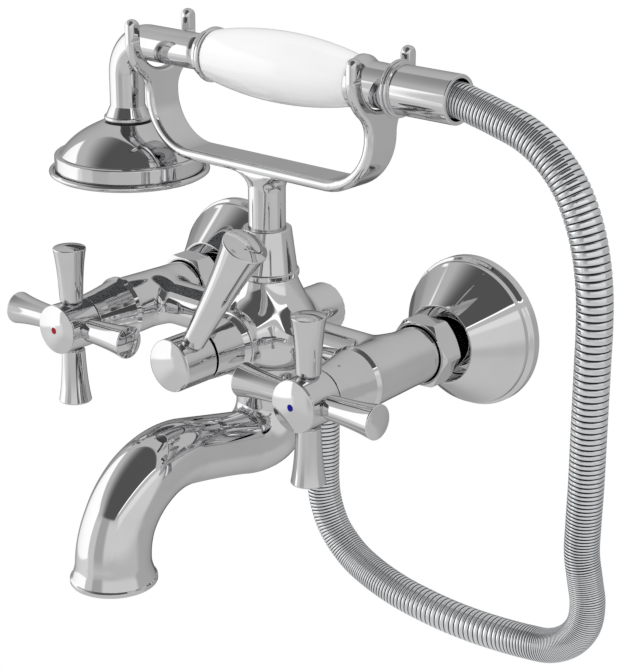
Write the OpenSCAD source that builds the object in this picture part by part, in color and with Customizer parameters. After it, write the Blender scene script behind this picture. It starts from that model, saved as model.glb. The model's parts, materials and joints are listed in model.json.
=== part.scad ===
// Wall-mounted bath shower mixer with a hand shower lying in a forked cradle.
// The origin is on the wall, midway between the two inlets. +X is the user's right,
// +Y goes into the wall and +Z is up. All sizes are in millimetres.

/* [Wall inlets] */
// Distance between the two inlet centres
inlet_centres = 150; // [144:1:160]
// Distance from the wall to the middle of the body
body_reach = 65.5; // [62:0.5:75]
// Diameter of the thread that goes into the wall
wall_thread_d = 20.9; // [18:0.1:22]
// Length of the thread that goes into the wall
wall_thread_len = 14; // [8:1:24]
// Diameter of the wall union's round body
union_d = 23; // [22.4:0.1:24]
// Diameter of the water bore through the wall union
union_bore_d = 14; // [10:0.5:16]

/* [Wall flange] */
// Diameter of the wall flange
flange_d = 73; // [70:0.5:85]
// Height of the flange's straight rim
flange_rim = 6; // [3:0.5:8]
// Diameter of the flange where its cone starts
flange_step_d = 67.6; // [60:0.2:69]
// Length of the union nut that the flange's mouth covers
flange_cover = 3.9; // [2:0.1:6]
// Diameter of the flange's mouth
flange_mouth_d = 37.6; // [36.8:0.2:42]
// Wall of the flange
flange_wall = 1.2; // [0.8:0.1:2]

/* [Union nut] */
// Width across the flats of the union nut
nut_flats = 30; // [29.6:0.1:31]
// Diameter of the body's threaded inlet end
inlet_thread_d = 26.2; // [25.4:0.1:26.8]
// Distance from the body's middle to the end of its inlet thread
inlet_reach = 32; // [30:0.5:34]
// Length of inlet thread that the nut covers
nut_cover = 12.8; // [10:0.2:15]
// Thickness of the union washer
washer_t = 2; // [1.5:0.1:2.5]

/* [Body] */
// Diameter of the ball in the middle of the body
ball_d = 55.6; // [54:0.2:58]
// Diameter of the horizontal arms
arm_d = 22; // [21.4:0.2:24]
// Diameter of the valve tees at their front face
tee_d = 29; // [27.5:0.1:30.5]
// Distance from the body's middle to the valves' front faces
face_reach = 24.1; // [23.5:0.1:25]
// Diameter of the upright neck
neck_d = 28.4; // [27:0.2:29.4]
// Height of the neck above the inlets
neck_top = 27.5; // [27:0.5:31]
// Diameter of the boss at the back of the ball
rear_boss_d = 25; // [23:0.2:27]
// Clear distance from the wall to the rear boss
rear_boss_gap = 22.5; // [15:0.5:28]
// Diameter of the cartridge bores
cartridge_bore_d = 18; // [17:0.2:19]
// Diameter of the bores that carry water along the arms
feed_bore_d = 8; // [6:0.2:8.6]
// Diameter of the bore that leads to the shower outlet
shower_bore_d = 7.6; // [6:0.2:7.8]
// Distance from the body's middle to the shower outlet, to the right
outlet_x = 35; // [34.5:0.5:42]

/* [Bonnets] */
// Diameter of the ring at a bonnet's foot
bonnet_ring_d = 31.4; // [30.6:0.1:34]
// Thickness of that ring
bonnet_ring_t = 3.3; // [2:0.1:5]
// Length of the bonnet from the valve's face to its mouth
bonnet_len = 25; // [23:0.2:28]
// Diameter of the bonnet at its mouth
bonnet_mouth_d = 25.8; // [24.8:0.1:28]

/* [Handles] */
// Diameter of a handle's hub
hub_d = 24; // [22:0.2:26]
// Length of a handle's hub
hub_len = 17.4; // [15.5:0.2:20]
// Rise of the domed cap
cap_rise = 2.2; // [1.5:0.1:4]
// Distance from the axis to the rim of an arm's end
arm_reach = 38.7; // [34:0.1:40]
// Diameter of an arm beside the hub
arm_neck_d = 11.3; // [9.6:0.1:12.5]
// Diameter of an arm's end
arm_end_d = 16; // [13:0.1:17]
// Diameter of the coloured dot
dot_d = 3; // [2:0.1:5]

/* [Diverter] */
// Diameter of the diverter's knob
knob_d = 24.8; // [23.5:0.1:26]
// Length of the knob up to its domed front
knob_len = 19; // [17:0.2:22]
// Distance from the knob's axis to the rim of the lever's end
lever_reach = 74; // [50:0.5:76]
// Diameter of the lever beside the knob
lever_neck_d = 10.8; // [9.6:0.1:12]
// Diameter of the lever's end
lever_end_d = 21.4; // [16:0.1:22]
// Lean of the lever at rest from upright, to the right
lever_lean = 32; // [0:1:34]

/* [Spout] */
// Diameter of the spout's tube at its outer curve
spout_d = 33; // [31.6:0.2:34]
// Diameter of the spout's elbow
spout_elbow_d = 31; // [28:0.2:32]
// Wall of the spout
spout_wall = 2.5; // [2:0.1:3]
// Distance from the wall to the middle of the outlet
spout_reach = 171; // [160:0.5:200]
// Depth of the elbow's centre below the inlets
spout_drop = 34.5; // [30:0.5:45]
// Bend radius of the elbow under the body
spout_elbow_r = 17.5; // [17.5:0.5:24]
// Bend radius of the spout's outer curve
spout_bend_r = 38; // [30:0.5:45]
// Slope of the straight run
spout_rise = 7.5; // [0:0.5:15]
// Diameter of the flared lip
lip_d = 40; // [37:0.2:44]

/* [Cradle] */
// Diameter of the cradle's stem
stem_d = 17.6; // [16:0.1:18.2]
// Diameter of the collar at its foot
collar_d = 30.2; // [29.6:0.1:33]
// Diameter of the collar at its top
collar_top_d = 23; // [21:0.1:26]
// Height of the collar
collar_h = 23.5; // [18:0.5:28]
// Clear height from the cradle's bar up to the hand shower's axis
finger_room = 45.3; // [38:0.1:50]
// Thickness of the cradle's strap
strap_t = 5.3; // [4:0.1:6]
// Width of the cradle's strap
strap_w = 19; // [17:0.2:22]
// Distance between the middles of the two forks
fork_span = 134.7; // [132:0.1:136]
// Outer radius of the bends at the ends of the bar
cradle_bend_r = 28; // [24:0.5:30]
// Clear width of a fork
fork_gap = 30.6; // [28:0.2:34]
// Width of a prong
prong_w = 7; // [5:0.1:9]
// Rise of the prongs' tips above the hand shower's axis
prong_rise = 14.8; // [10:0.1:20]

/* [Hand shower] */
// Height of the hand shower's axis above the inlets
handset_z = 128; // [118:0.5:145]
// Distance from the body's middle to the head's axis, to the left
head_x = 91.5; // [90:0.5:96]
// Diameter of the chrome tube
tube_d = 17.2; // [15:0.1:18]
// Bend radius of the tube
tube_bend_r = 17; // [14:0.5:20]
// Diameter of the head's rim ring
head_d = 79.8; // [76:0.2:80]
// Distance from the hand shower's axis down to the underside of the rim ring
head_drop = 67.3; // [64:0.1:69]
// Height of the head's straight band
band_h = 7.3; // [5:0.1:9]
// Height of the head's dome
dome_h = 15.8; // [12:0.1:17]
// Distance from the body's middle to the grip's left end
grip_left = 31; // [29:0.2:34]
// Distance from the body's middle to the grip's right end
grip_right = 54.5; // [52:0.2:55]
// Diameter of the grip at its fullest
grip_d = 32.6; // [28:0.2:33]
// Diameter of the grip at its ends
grip_end_d = 23; // [21:0.1:25]
// Length of the ferrule in front of the grip
ferrule_len = 7; // [5:0.1:9]
// Diameter of the ferrule's ring
ferrule_d = 24.8; // [23:0.1:27]
// Diameter of the tail beside the grip
tail_d = 24.8; // [22:0.1:26]
// Diameter of the tail where it lies in the fork
tail_neck_d = 20.4; // [18.6:0.1:21]

/* [Hose] */
// Diameter of the sleeve at the hose's upper end
sleeve_d = 23; // [21.4:0.1:25]
// Diameter of the sleeve's ring
sleeve_ring_d = 26; // [24:0.1:27]
// Distance from the body's middle to the sleeve's end
sleeve_end = 110.5; // [108:0.5:112]
// Outer diameter of the hose
hose_d = 15.5; // [13:0.1:16]
// Depth of the grooves between the ribs
rib_depth = 0.9; // [0.5:0.1:1.2]
// Diameter of the hose's bore
hose_bore_d = 8; // [6:0.1:10]
// Number of ribs
rib_count = 180; // [100:1:190]

/* [Hidden] */
$fn = 64;

chrome = "silver";
brass = "goldenrod";
rubber = "dimgray";
ceramic = "white";
steel = "gray";

// Radial clearance of a close fit, and the gap between pieces that move past each other
fit_gap = 0.05;
run_gap = 0.4;
// Overlap that makes two shapes of one solid join, and the overshoot of a cut
join = 0.5;
over = 1;

hot_x = -inlet_centres / 2;
cold_x = inlet_centres / 2;

// Distances from the wall along a valve's axis
inlet_end = body_reach - inlet_reach;
nut_front = inlet_end + nut_cover;
union_face = inlet_end - washer_t;
union_collar_t = 2.5;
union_collar_back = union_face - union_collar_t;
nut_lip_t = 3.5;
nut_back = union_collar_back - nut_lip_t;
flange_depth = nut_back + flange_cover;
nut_mouth = 1.5;
nut_mouth_depth = 2.5;
flange_web_t = 2;
flange_web = flange_depth / 2;
valve_face = body_reach + face_reach;

// The body's inner spaces
inlet_bore_d = 14;
seat_depth = 31;
cartridge_seat = valve_face - seat_depth;
chamber_d = 20;
chamber_back = body_reach - 13.5;
channel_wall = 2;
feed_z = channel_wall / 2 + feed_bore_d / 2 - 0.2;
shower_z = -channel_wall / 2 - shower_bore_d / 2 - 0.2;
outlet_boss_d = 22;
outlet_face = arm_d / 2 + 4;
outlet_bore_d = 10;
spout_seat = 23;
spout_port_d = 20;
spout_spigot = 7;
stem_foot = 15;
spigot_d = 22;
spigot_top = neck_top + 10;
plug_d = 17;
plug_len = 7;
plug_socket_flats = 8;

// The cartridges
seal_t = 1.5;
disc_t = 2.8;
disc_gap = 0.1;
disc_d = 14.8;
cartridge_wall_gap = fit_gap;
cartridge_collar_d = 23;
cartridge_collar_t = 4;
cartridge_neck_d = 14;
cartridge_neck = 7;
spindle_d = 8;
spindle_flange_t = 2.4;
drive_d = 7.2;
port_d = 4;

// The handles
hub_back = valve_face + bonnet_len + run_gap;
hub_front = hub_back + hub_len;
hub_arm = hub_back + hub_len * 0.43;
spindle_end = hub_back + hub_len * 0.5;
screw_d = 4;
screw_head_d = 7.2;
screw_head_t = 2.4;
screw_well_d = 10;
screw_depth = 8;
cap_shank = 2;
cap_edge = 0.6;
dot_t = 0.8;
arm_spigot_d = 7;
arm_spigot = 4.5;
arm_foot = 0.9;
arm_foot_d = arm_neck_d - 2.6;
arm_dome = 1.4;

// The diverter
knob_back = valve_face + bonnet_len - 1;
sleeve_mouth = knob_back - run_gap;
knob_front = knob_back + knob_len;
knob_dome = 1.7;
lever_at = knob_back + knob_len / 2;
lever_spigot_d = 8;
lever_dome = 2.4;
grub_d = 4;
rotor_t = 10;

// The spout's route, forward from the body's middle and up from the inlets
outlet_forward = spout_reach - body_reach;
bend_x = outlet_forward - spout_bend_r;
run_start = [spout_elbow_r * (1 + sin(spout_rise)), -spout_drop - spout_elbow_r * cos(spout_rise)];
run_end_x = bend_x - spout_bend_r * sin(spout_rise);
run_len = (run_end_x - run_start[0]) / cos(spout_rise);
run_end = run_start + run_len * [cos(spout_rise), sin(spout_rise)];
bend_z = run_end[1] - spout_bend_r * cos(spout_rise);
lip_h = 8.6;
lip_bottom = bend_z - lip_h;
lip_bead = 1.4;
// Step where a straight run of the spout starts inside a curved one
seam = 0.06;
aerator_h = 8;
aerator_wall = 1.8;
insert_t = 3;

// The cradle
collar_bead = 3;
cradle_z = handset_z - finger_room - strap_t;
prong_top = handset_z + prong_rise;
collar_ring_d = 2;
fork_x = fork_span / 2;
fork_in = fork_x - strap_t / 2;
bend_centre_x = fork_x + strap_t / 2 - cradle_bend_r;
bend_centre_z = cradle_z + cradle_bend_r;
seat_gap = 0.3;
fork_seat = handset_z - tail_neck_d / 2 - seat_gap;
fork_centre = fork_seat + fork_gap / 2;
fork_out = fork_gap / 2 + prong_w;
fork_fillet = 12;
fillet_y = strap_w / 2 + fork_fillet;
fillet_z = fork_centre - sqrt(pow(fork_out + fork_fillet, 2) - pow(fillet_y, 2));
stem_flare = 8;

// The hand shower, heights up from the underside of the rim ring
head_bottom = handset_z - head_drop;
ring_h = 3.6;
band_d = head_d - 6;
dome_d = band_d - 5.6;
crown_d = 25;
dome_curve = 55;
band_top = ring_h + band_h;
dome_top = band_top + dome_h;
shell_wall = 1.6;
neck_gap = 0.8;
neck_foot_d = 22.6;
neck_foot = dome_top + neck_gap;
neck_flare_h = 8;
head_spigot_d = 17;
face_d = 72;
face_t = 2.5;
nozzle_d = 1.8;
nozzle_h = 1;
tube_bore_d = 11;
inner_tube_d = 12;
inner_bore_d = 9;
ferrule_left = grip_left + ferrule_len;
grip_curve = (pow((grip_left + grip_right) / 2, 2) + pow((grip_d - grip_end_d) / 2, 2))
    / (grip_d - grip_end_d);
grip_middle = (grip_right - grip_left) / 2;
neck_left = fork_in - 1;
neck_right = fork_x + strap_t / 2 + 2;
tail_full = 6;
nipple_d = 18;
nipple_len = 14;
sleeve_left = neck_right + 4.2;
sleeve_ring_t = 2.4;
sleeve_hole_d = hose_d + 3.2;
hose_socket = 17;
hose_top = sleeve_end - hose_socket;

// The shower outlet under the right arm
nipple_flats = 20;
nipple_hex = 3;
outlet_thread_d = 20.6;
outlet_thread = 6;
nut_top = outlet_face + nipple_hex + 1;
nut_drop = 15;
nut_end = nut_top + nut_drop;
nut_top_d = 25;
nut_end_d = 20;
hose_foot = outlet_face + nipple_hex + outlet_thread + 1;

// The hose's route from the sleeve down to the outlet, as X and Z
hose_route = [
    [hose_top, handset_z], [hose_top + hose_d, handset_z], [119, 126], [131, 123], [144, 119],
    [156, 112], [166, 102], [173, 90], [178, 76], [181, 60], [182, 44], [182, 26], [182, 8],
    [182, -10], [182, -28], [182, -46], [183, -60], [185, -72], [186, -83], [184, -95],
    [177, -105], [167, -112], [155, -114], [140, -115], [126, -115], [112, -115], [97, -114],
    [82, -112], [67, -108], [54, -102], [43, -92], [37, -80], [35, -68], [outlet_x, -52],
    [outlet_x, -hose_foot]
];

// Points of an arc about a centre
function arc(centre, r, from, to, steps = 10) = [
    for (i = [0 : steps])
        let (a = from + (to - from) * i / steps)
        centre + r * [cos(a), sin(a)]
];

// A trumpet's outline: its radius grows slowly beside the neck and fast at the end
function trumpet(r0, r1, t0, t1, steps = 12) = [
    for (i = [0 : steps])
        let (u = i / steps)
        [r0 + (r1 - r0) * (0.45 * u + 0.55 * pow(u, 3)), t0 + (t1 - t0) * u]
];

// A shallow dome from a rim of radius r at height t to the axis
function dome(r, t, rise, steps = 8) = [
    for (i = [0 : steps])
        let (a = 90 * i / steps)
        [r * cos(a), t + rise * sin(a)]
];

// Along a valve's axis, with the distance from the wall as local Z
module from_wall(x = 0) translate([x, 0, 0]) rotate([90, 0, 0]) children();
// Upright at the body's middle
module on_column() translate([0, -body_reach, 0]) children();
// Along the hand shower's axis, with X as local Z
module on_handset() translate([0, -body_reach, handset_z]) rotate([0, 90, 0]) children();
// On the head's upright axis, from the underside of the rim ring
module on_head() translate([-head_x, -body_reach, head_bottom]) children();
// In the spout's plane, with forward as local X and up as local Y
module spout_plane() on_column() rotate([90, 0, -90]) children();
// In the cradle's plane, with right as local X and up as local Y
module front_plane() on_column() rotate([90, 0, 0]) children();

module turned(outline) rotate_extrude() polygon(outline);
module rod(d, from, to) translate([0, 0, from]) cylinder(d = d, h = to - from);
module tube(d, bore, from, to) difference() {
    rod(d, from, to);
    rod(bore, from - over, to + over);
}

// Body

module body_casting() color(chrome) difference() {
    union() {
        on_column() sphere(d = ball_d);
        on_column() rotate([0, 90, 0]) cylinder(d = arm_d, h = inlet_centres, center = true);
        for (x = [hot_x, cold_x]) from_wall(x) {
            rod(inlet_thread_d, inlet_end, nut_front + join);
            translate([0, 0, nut_front])
                cylinder(d1 = inlet_thread_d, d2 = tee_d, h = valve_face - nut_front);
        }
        on_column() rod(neck_d, 0, neck_top);
        on_column() rod(spigot_d, 0, spigot_top);
        from_wall() rod(rear_boss_d, rear_boss_gap, body_reach);
        from_wall() rod(tee_d, body_reach, valve_face);
        translate([outlet_x, -body_reach, -outlet_face]) cylinder(d = outlet_boss_d, h = outlet_face);
    }
    from_wall() rod(ball_d + over, valve_face, valve_face + ball_d);
    on_column() rod(ball_d + over, -ball_d, -spout_seat);
    for (x = [hot_x, cold_x]) from_wall(x) {
        rod(inlet_bore_d, inlet_end - over, cartridge_seat + join);
        rod(cartridge_bore_d, cartridge_seat, valve_face + over);
    }
    from_wall() rod(chamber_d, chamber_back, valve_face + over);
    from_wall() rod(plug_d, rear_boss_gap - over, chamber_back - channel_wall);
    on_column() translate([0, 0, feed_z]) rotate([0, 90, 0])
        cylinder(d = feed_bore_d, h = inlet_centres, center = true);
    translate([0, -body_reach, shower_z]) rotate([0, 90, 0])
        cylinder(d = shower_bore_d, h = outlet_x + shower_bore_d / 2);
    translate([outlet_x, -body_reach, -outlet_face - over])
        cylinder(d = outlet_bore_d, h = outlet_face + over + shower_z);
    on_column() rod(stem_d + 2 * fit_gap, stem_foot, spigot_top + over);
    on_column() rod(spout_port_d, -spout_seat - over, 0);
}

module rear_plug() color(brass) from_wall() difference() {
    rod(plug_d - 2 * fit_gap, rear_boss_gap, rear_boss_gap + plug_len);
    translate([0, 0, rear_boss_gap - over])
        cylinder(d = plug_socket_flats / cos(30), h = plug_len / 2 + over, $fn = 6);
}

// Spout

// The spout's run as a solid, from the body to the start of the lip, smaller all round by inset
module spout_run(inset, top) spout_plane() {
    translate([0, top, 0]) rotate([90, 0, 0])
        cylinder(d1 = spout_d - 2 * inset, d2 = spout_elbow_d - 2 * inset - 2 * seam,
                 h = top + spout_drop + join);
    translate([spout_elbow_r, -spout_drop, 0]) rotate([0, 0, 180])
        rotate_extrude(angle = 90 + spout_rise)
            translate([spout_elbow_r, 0]) circle(d = spout_elbow_d - 2 * inset);
    translate(run_start) rotate([0, 90, spout_rise]) translate([0, 0, -join])
        cylinder(d1 = spout_elbow_d - 2 * inset - 2 * seam, d2 = spout_d - 2 * inset - 2 * seam,
                 h = run_len + 2 * join);
    translate([bend_x, bend_z, 0]) rotate_extrude(angle = 90 + spout_rise)
        translate([spout_bend_r, 0]) circle(d = spout_d - 2 * inset);
}

module at_outlet() translate([0, -spout_reach, lip_bottom]) children();

module spout() color(chrome) difference() {
    union() {
        spout_run(0, -spout_seat);
        on_column() rod(spout_port_d - 2 * fit_gap, -spout_seat - join, -spout_seat + spout_spigot);
        at_outlet() turned(concat(
            [[0, 0], [lip_d / 2 - lip_bead, 0]],
            arc([lip_d / 2 - lip_bead, lip_bead], lip_bead, -90, 60, 6),
            [[spout_d / 2 + 1.2, lip_h * 0.5], [spout_d / 2 + 0.4, lip_h * 0.75],
             [spout_d / 2, lip_h], [0, lip_h]]));
    }
    spout_run(spout_wall, -spout_seat - spout_wall);
    at_outlet() rod(spout_d - 2 * spout_wall, -over, lip_h);
    on_column() rod(spout_port_d - 2 * spout_wall, -spout_seat - spout_wall - join, over);
}

module aerator_housing() color(chrome) at_outlet()
    tube(spout_d - 2 * spout_wall - 2 * fit_gap,
         spout_d - 2 * spout_wall - 2 * aerator_wall, 0.6, aerator_h);

module aerator_insert() color("whitesmoke") at_outlet() difference() {
    rod(spout_d - 2 * spout_wall - 2 * aerator_wall - 2 * fit_gap, 1.5, 1.5 + insert_t);
    for (ring = [1 : 3], i = [0 : 6 * ring - 1])
        rotate([0, 0, 60 * i / ring]) translate([3.4 * ring, 0, 0]) rod(1.6, 0, 2 + insert_t);
}

// Wall side

module wall_flange(x) color(chrome) from_wall(x) difference() {
    turned([
        [0, 0], [flange_d / 2, 0], [flange_d / 2, flange_rim - 1], [flange_d / 2 - 1, flange_rim],
        [flange_step_d / 2 + 0.6, flange_rim + 1.5], [flange_step_d / 2, flange_rim + 3.3],
        [flange_mouth_d / 2, flange_depth], [0, flange_depth]
    ]);
    turned([
        [0, -over], [flange_d / 2 - 3 * flange_wall, -over],
        [flange_step_d / 2 - 2 * flange_wall, flange_rim + 1.5],
        [flange_mouth_d / 2 - flange_wall + (flange_step_d - flange_mouth_d) / 2
            * (flange_depth - flange_web) / (flange_depth - flange_rim), flange_web],
        [0, flange_web]
    ]);
    rod(union_d + 2 * fit_gap, flange_web - over, flange_depth);
    turned([
        [0, flange_web + flange_web_t],
        [flange_mouth_d / 2 - flange_wall + (flange_step_d - flange_mouth_d) / 2
            * (flange_depth - flange_web - flange_web_t) / (flange_depth - flange_rim),
            flange_web + flange_web_t],
        [flange_mouth_d / 2 - flange_wall / 2, flange_depth + 0.01], [0, flange_depth + 0.01]
    ]);
}

module wall_union(x) color(brass) from_wall(x) difference() {
    union() {
        rod(wall_thread_d, -wall_thread_len, join);
        rod(union_d, 0, union_face);
        rod(inlet_thread_d - 1, union_collar_back, union_face);
    }
    rod(union_bore_d, -wall_thread_len - over, union_face + over);
}

module union_washer(x) color(rubber) from_wall(x)
    tube(inlet_thread_d - 1.4, inlet_bore_d + 1, union_face, inlet_end);

module union_nut(x) color(chrome) from_wall(x) difference() {
    intersection() {
        translate([0, 0, nut_back]) cylinder(d = nut_flats / cos(30), h = nut_front - nut_back, $fn = 6);
        turned([
            [0, nut_back], [nut_flats / 2 + 0.4, nut_back], [nut_flats / 2 + 3, nut_back + 1.5],
            [nut_flats / 2 + 3, nut_front - 1.5], [nut_flats / 2 + 0.2, nut_front], [0, nut_front]
        ]);
    }
    rod(union_d + 2 * fit_gap, nut_back - over, union_face);
    rod(inlet_thread_d + 2 * fit_gap, union_collar_back, nut_front + over);
    rod(inlet_thread_d + 2 * nut_mouth, nut_front - nut_mouth_depth, nut_front + over);
}

// Valves

seal_top = cartridge_seat + seal_t;
fixed_top = seal_top + disc_t;
moving_top = fixed_top + disc_gap + disc_t;
drive_top = moving_top + spindle_flange_t;
cartridge_mouth = valve_face + cartridge_collar_t + cartridge_neck;

module cartridge_seal(x) color(rubber) from_wall(x)
    tube(disc_d, inlet_bore_d - 3, cartridge_seat, seal_top);

module fixed_disc(x) color(ceramic) from_wall(x) difference() {
    rod(disc_d, seal_top, fixed_top);
    for (s = [-1, 1]) translate([s * disc_d / 4, 0, 0]) rod(port_d, seal_top - over, fixed_top + over);
}

module cartridge(x) color(brass) from_wall(x) difference() {
    union() {
        rod(cartridge_bore_d - 2 * cartridge_wall_gap, seal_top, valve_face + join);
        rod(cartridge_collar_d, valve_face, valve_face + cartridge_collar_t);
        rod(cartridge_neck_d, valve_face, cartridge_mouth);
    }
    rod(disc_d + 2 * fit_gap, seal_top - over, drive_top + disc_gap);
    rod(spindle_d + 2 * fit_gap, seal_top, cartridge_mouth + over);
    for (a = [0, 180]) rotate([0, 0, a]) translate([0, 0, body_reach])
        rotate([0, 90, 0]) cylinder(d = port_d, h = cartridge_bore_d);
}

module bonnet(x) color(chrome) from_wall(x) difference() {
    turned([
        [0, valve_face], [bonnet_ring_d / 2, valve_face],
        [bonnet_ring_d / 2, valve_face + bonnet_ring_t - 1],
        [bonnet_ring_d / 2 - 1, valve_face + bonnet_ring_t],
        [bonnet_mouth_d / 2, valve_face + bonnet_len], [0, valve_face + bonnet_len]
    ]);
    rod(cartridge_collar_d + 2 * fit_gap, valve_face - over, valve_face + cartridge_collar_t + join);
    turned([
        [0, valve_face + cartridge_collar_t], [cartridge_collar_d / 2 + fit_gap, valve_face + cartridge_collar_t],
        [bonnet_mouth_d / 2 - 1.6, valve_face + bonnet_len + 0.01], [0, valve_face + bonnet_len + 0.01]
    ]);
}

module spindle(x) color(brass) from_wall(x) difference() {
    union() {
        rod(disc_d - 0.6, moving_top, drive_top);
        rod(spindle_d, moving_top, cartridge_mouth + 2);
        rod(drive_d, moving_top, spindle_end);
    }
    rod(screw_d + 2 * fit_gap, spindle_end - screw_depth, spindle_end + over);
}

module moving_disc(x) color(ceramic) from_wall(x) difference() {
    rod(disc_d - 0.2, fixed_top + disc_gap, moving_top);
    translate([disc_d / 4, 0, 0]) rod(port_d, fixed_top, moving_top - 1);
}

// Handles

module hub(x) color(chrome) from_wall(x) difference() {
    rod(hub_d, hub_back, hub_front);
    rod(drive_d + 2 * fit_gap, hub_back - over, spindle_end + 0.1);
    rod(screw_d + 0.4, hub_back, hub_front);
    rod(screw_well_d, spindle_end + 1.6, hub_front + over);
    translate([0, 0, hub_arm]) for (a = [0 : 90 : 270]) rotate([0, 90, a])
        rod(arm_spigot_d + 2 * fit_gap, hub_d / 2 - arm_spigot - 0.2, hub_d);
}

module arms(x) color(chrome) from_wall(x) translate([0, 0, hub_arm])
    for (a = [0 : 90 : 270]) rotate([0, 90, a]) turned(concat(
        [[0, hub_d / 2 - arm_spigot], [arm_spigot_d / 2, hub_d / 2 - arm_spigot],
         [arm_spigot_d / 2, hub_d / 2 + arm_foot], [arm_foot_d / 2, hub_d / 2 + arm_foot]],
        trumpet(arm_neck_d / 2, arm_end_d / 2, hub_d / 2 + arm_foot + 1.4, arm_reach),
        dome(arm_end_d / 2 - 0.3, arm_reach + 0.3, arm_dome)));

module cap(x) color(chrome) from_wall(x) difference() {
    union() {
        turned(concat([[0, hub_front], [hub_d / 2 - 0.1, hub_front]],
            dome(hub_d / 2 - 0.1, hub_front + cap_edge, cap_rise - cap_edge)));
        rod(screw_well_d - 2 * fit_gap, hub_front - cap_shank, hub_front + join);
    }
    rod(dot_d + 2 * fit_gap, hub_front + cap_rise - dot_t, hub_front + cap_rise + over);
}

module dot(x, paint) color(paint) from_wall(x)
    rod(dot_d, hub_front + cap_rise - dot_t, hub_front + cap_rise);

module handle_screw(x) color(steel) from_wall(x) {
    rod(screw_d, spindle_end - screw_depth + 0.5, spindle_end + 1.6 + join);
    difference() {
        rod(screw_head_d, spindle_end + 1.6, spindle_end + 1.6 + screw_head_t);
        rod(2.4, spindle_end + 1.6 + screw_head_t / 2, hub_front);
    }
}

// Diverter

diverter_seat = chamber_back + seal_t;
rotor_top = diverter_seat + rotor_t;

module diverter_seal() color(rubber) from_wall()
    tube(chamber_d - 2, chamber_d - 8, chamber_back, diverter_seat);

module diverter_cartridge() color(brass) from_wall() difference() {
    union() {
        rod(chamber_d - 2 * fit_gap, diverter_seat, valve_face + join);
        rod(cartridge_collar_d, valve_face, valve_face + cartridge_collar_t);
        rod(cartridge_neck_d, valve_face, cartridge_mouth);
    }
    rod(disc_d + 2 * fit_gap, diverter_seat - over, rotor_top + disc_gap);
    rod(spindle_d + 2 * fit_gap, diverter_seat, cartridge_mouth + over);
    translate([0, 0, body_reach]) for (a = [0 : 90 : 270]) rotate([0, 90, a])
        cylinder(d = port_d, h = chamber_d);
}

module diverter_bonnet() color(chrome) from_wall() difference() {
    turned([
        [0, valve_face], [bonnet_ring_d / 2, valve_face],
        [bonnet_ring_d / 2, valve_face + bonnet_ring_t - 1],
        [bonnet_ring_d / 2 - 1, valve_face + bonnet_ring_t],
        [knob_d / 2 + 0.9, valve_face + bonnet_ring_t + 3],
        [knob_d / 2, sleeve_mouth], [0, sleeve_mouth]
    ]);
    rod(cartridge_collar_d + 2 * fit_gap, valve_face - over, valve_face + cartridge_collar_t + join);
    turned([
        [0, valve_face + cartridge_collar_t], [cartridge_collar_d / 2 + fit_gap, valve_face + cartridge_collar_t],
        [knob_d / 2 - 1.6, sleeve_mouth + 0.01], [0, sleeve_mouth + 0.01]
    ]);
}

module diverter_spindle() color(brass) from_wall() {
    rod(spindle_d, rotor_top, cartridge_mouth + 2);
    rod(drive_d, rotor_top, knob_front - 4);
}

module diverter_rotor() color(ceramic) from_wall() difference() {
    rod(disc_d, diverter_seat + disc_gap, rotor_top);
    rod(port_d, diverter_seat, rotor_top - 3);
    translate([0, 0, diverter_seat + rotor_t / 2]) rotate([0, 90, 0]) cylinder(d = port_d, h = disc_d);
}

module diverter_knob() color(chrome) from_wall() difference() {
    turned(concat([[0, knob_back], [knob_d / 2, knob_back]],
        dome(knob_d / 2, knob_front, knob_dome)));
    rod(drive_d + 2 * fit_gap, knob_back - over, knob_front - 4);
    translate([0, 0, lever_at]) rotate([0, 90, 90 - lever_lean])
        rod(lever_spigot_d + 2 * fit_gap, knob_d / 2 - arm_spigot - 0.2, knob_d);
    translate([0, 0, lever_at]) rotate([0, 90, -90 - lever_lean])
        rod(grub_d + 2 * fit_gap, 0, knob_d);
}

module diverter_lever() color(chrome) from_wall() translate([0, 0, lever_at])
    rotate([0, 90, 90 - lever_lean]) turned(concat(
        [[0, knob_d / 2 - arm_spigot], [lever_spigot_d / 2, knob_d / 2 - arm_spigot],
         [lever_spigot_d / 2, knob_d / 2 + arm_foot], [lever_neck_d / 2 - 0.9, knob_d / 2 + arm_foot]],
        trumpet(lever_neck_d / 2, lever_end_d / 2, knob_d / 2 + arm_foot + 1.4, lever_reach),
        dome(lever_end_d / 2 - 0.3, lever_reach + 0.3, lever_dome)));

module diverter_grub_screw() color(steel) from_wall() translate([0, 0, lever_at])
    rotate([0, 90, -90 - lever_lean]) difference() {
        rod(grub_d, drive_d / 2 + fit_gap, knob_d / 2 - 1);
        translate([0, 0, knob_d / 2 - 3]) cylinder(d = 2.3, h = 3, $fn = 6);
    }

// Cradle

module cradle_collar() color(chrome) on_column() difference() {
    turned([
        [0, neck_top], [collar_d / 2 - 0.8, neck_top], [collar_d / 2, neck_top + 0.8],
        [collar_d / 2, neck_top + collar_bead - 0.8], [collar_d / 2 - 0.9, neck_top + collar_bead],
        [collar_top_d / 2, neck_top + collar_h - 0.5], [collar_top_d / 2 - 0.5, neck_top + collar_h],
        [0, neck_top + collar_h]
    ]);
    rod(spigot_d + 2 * fit_gap, neck_top - over, spigot_top + collar_ring_d);
    rod(stem_d + 2 * fit_gap, neck_top - over, neck_top + collar_h + over);
}

module collar_ring() color(rubber) on_column()
    tube(spigot_d - 0.4, stem_d + 2 * fit_gap, spigot_top, spigot_top + collar_ring_d);

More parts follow.
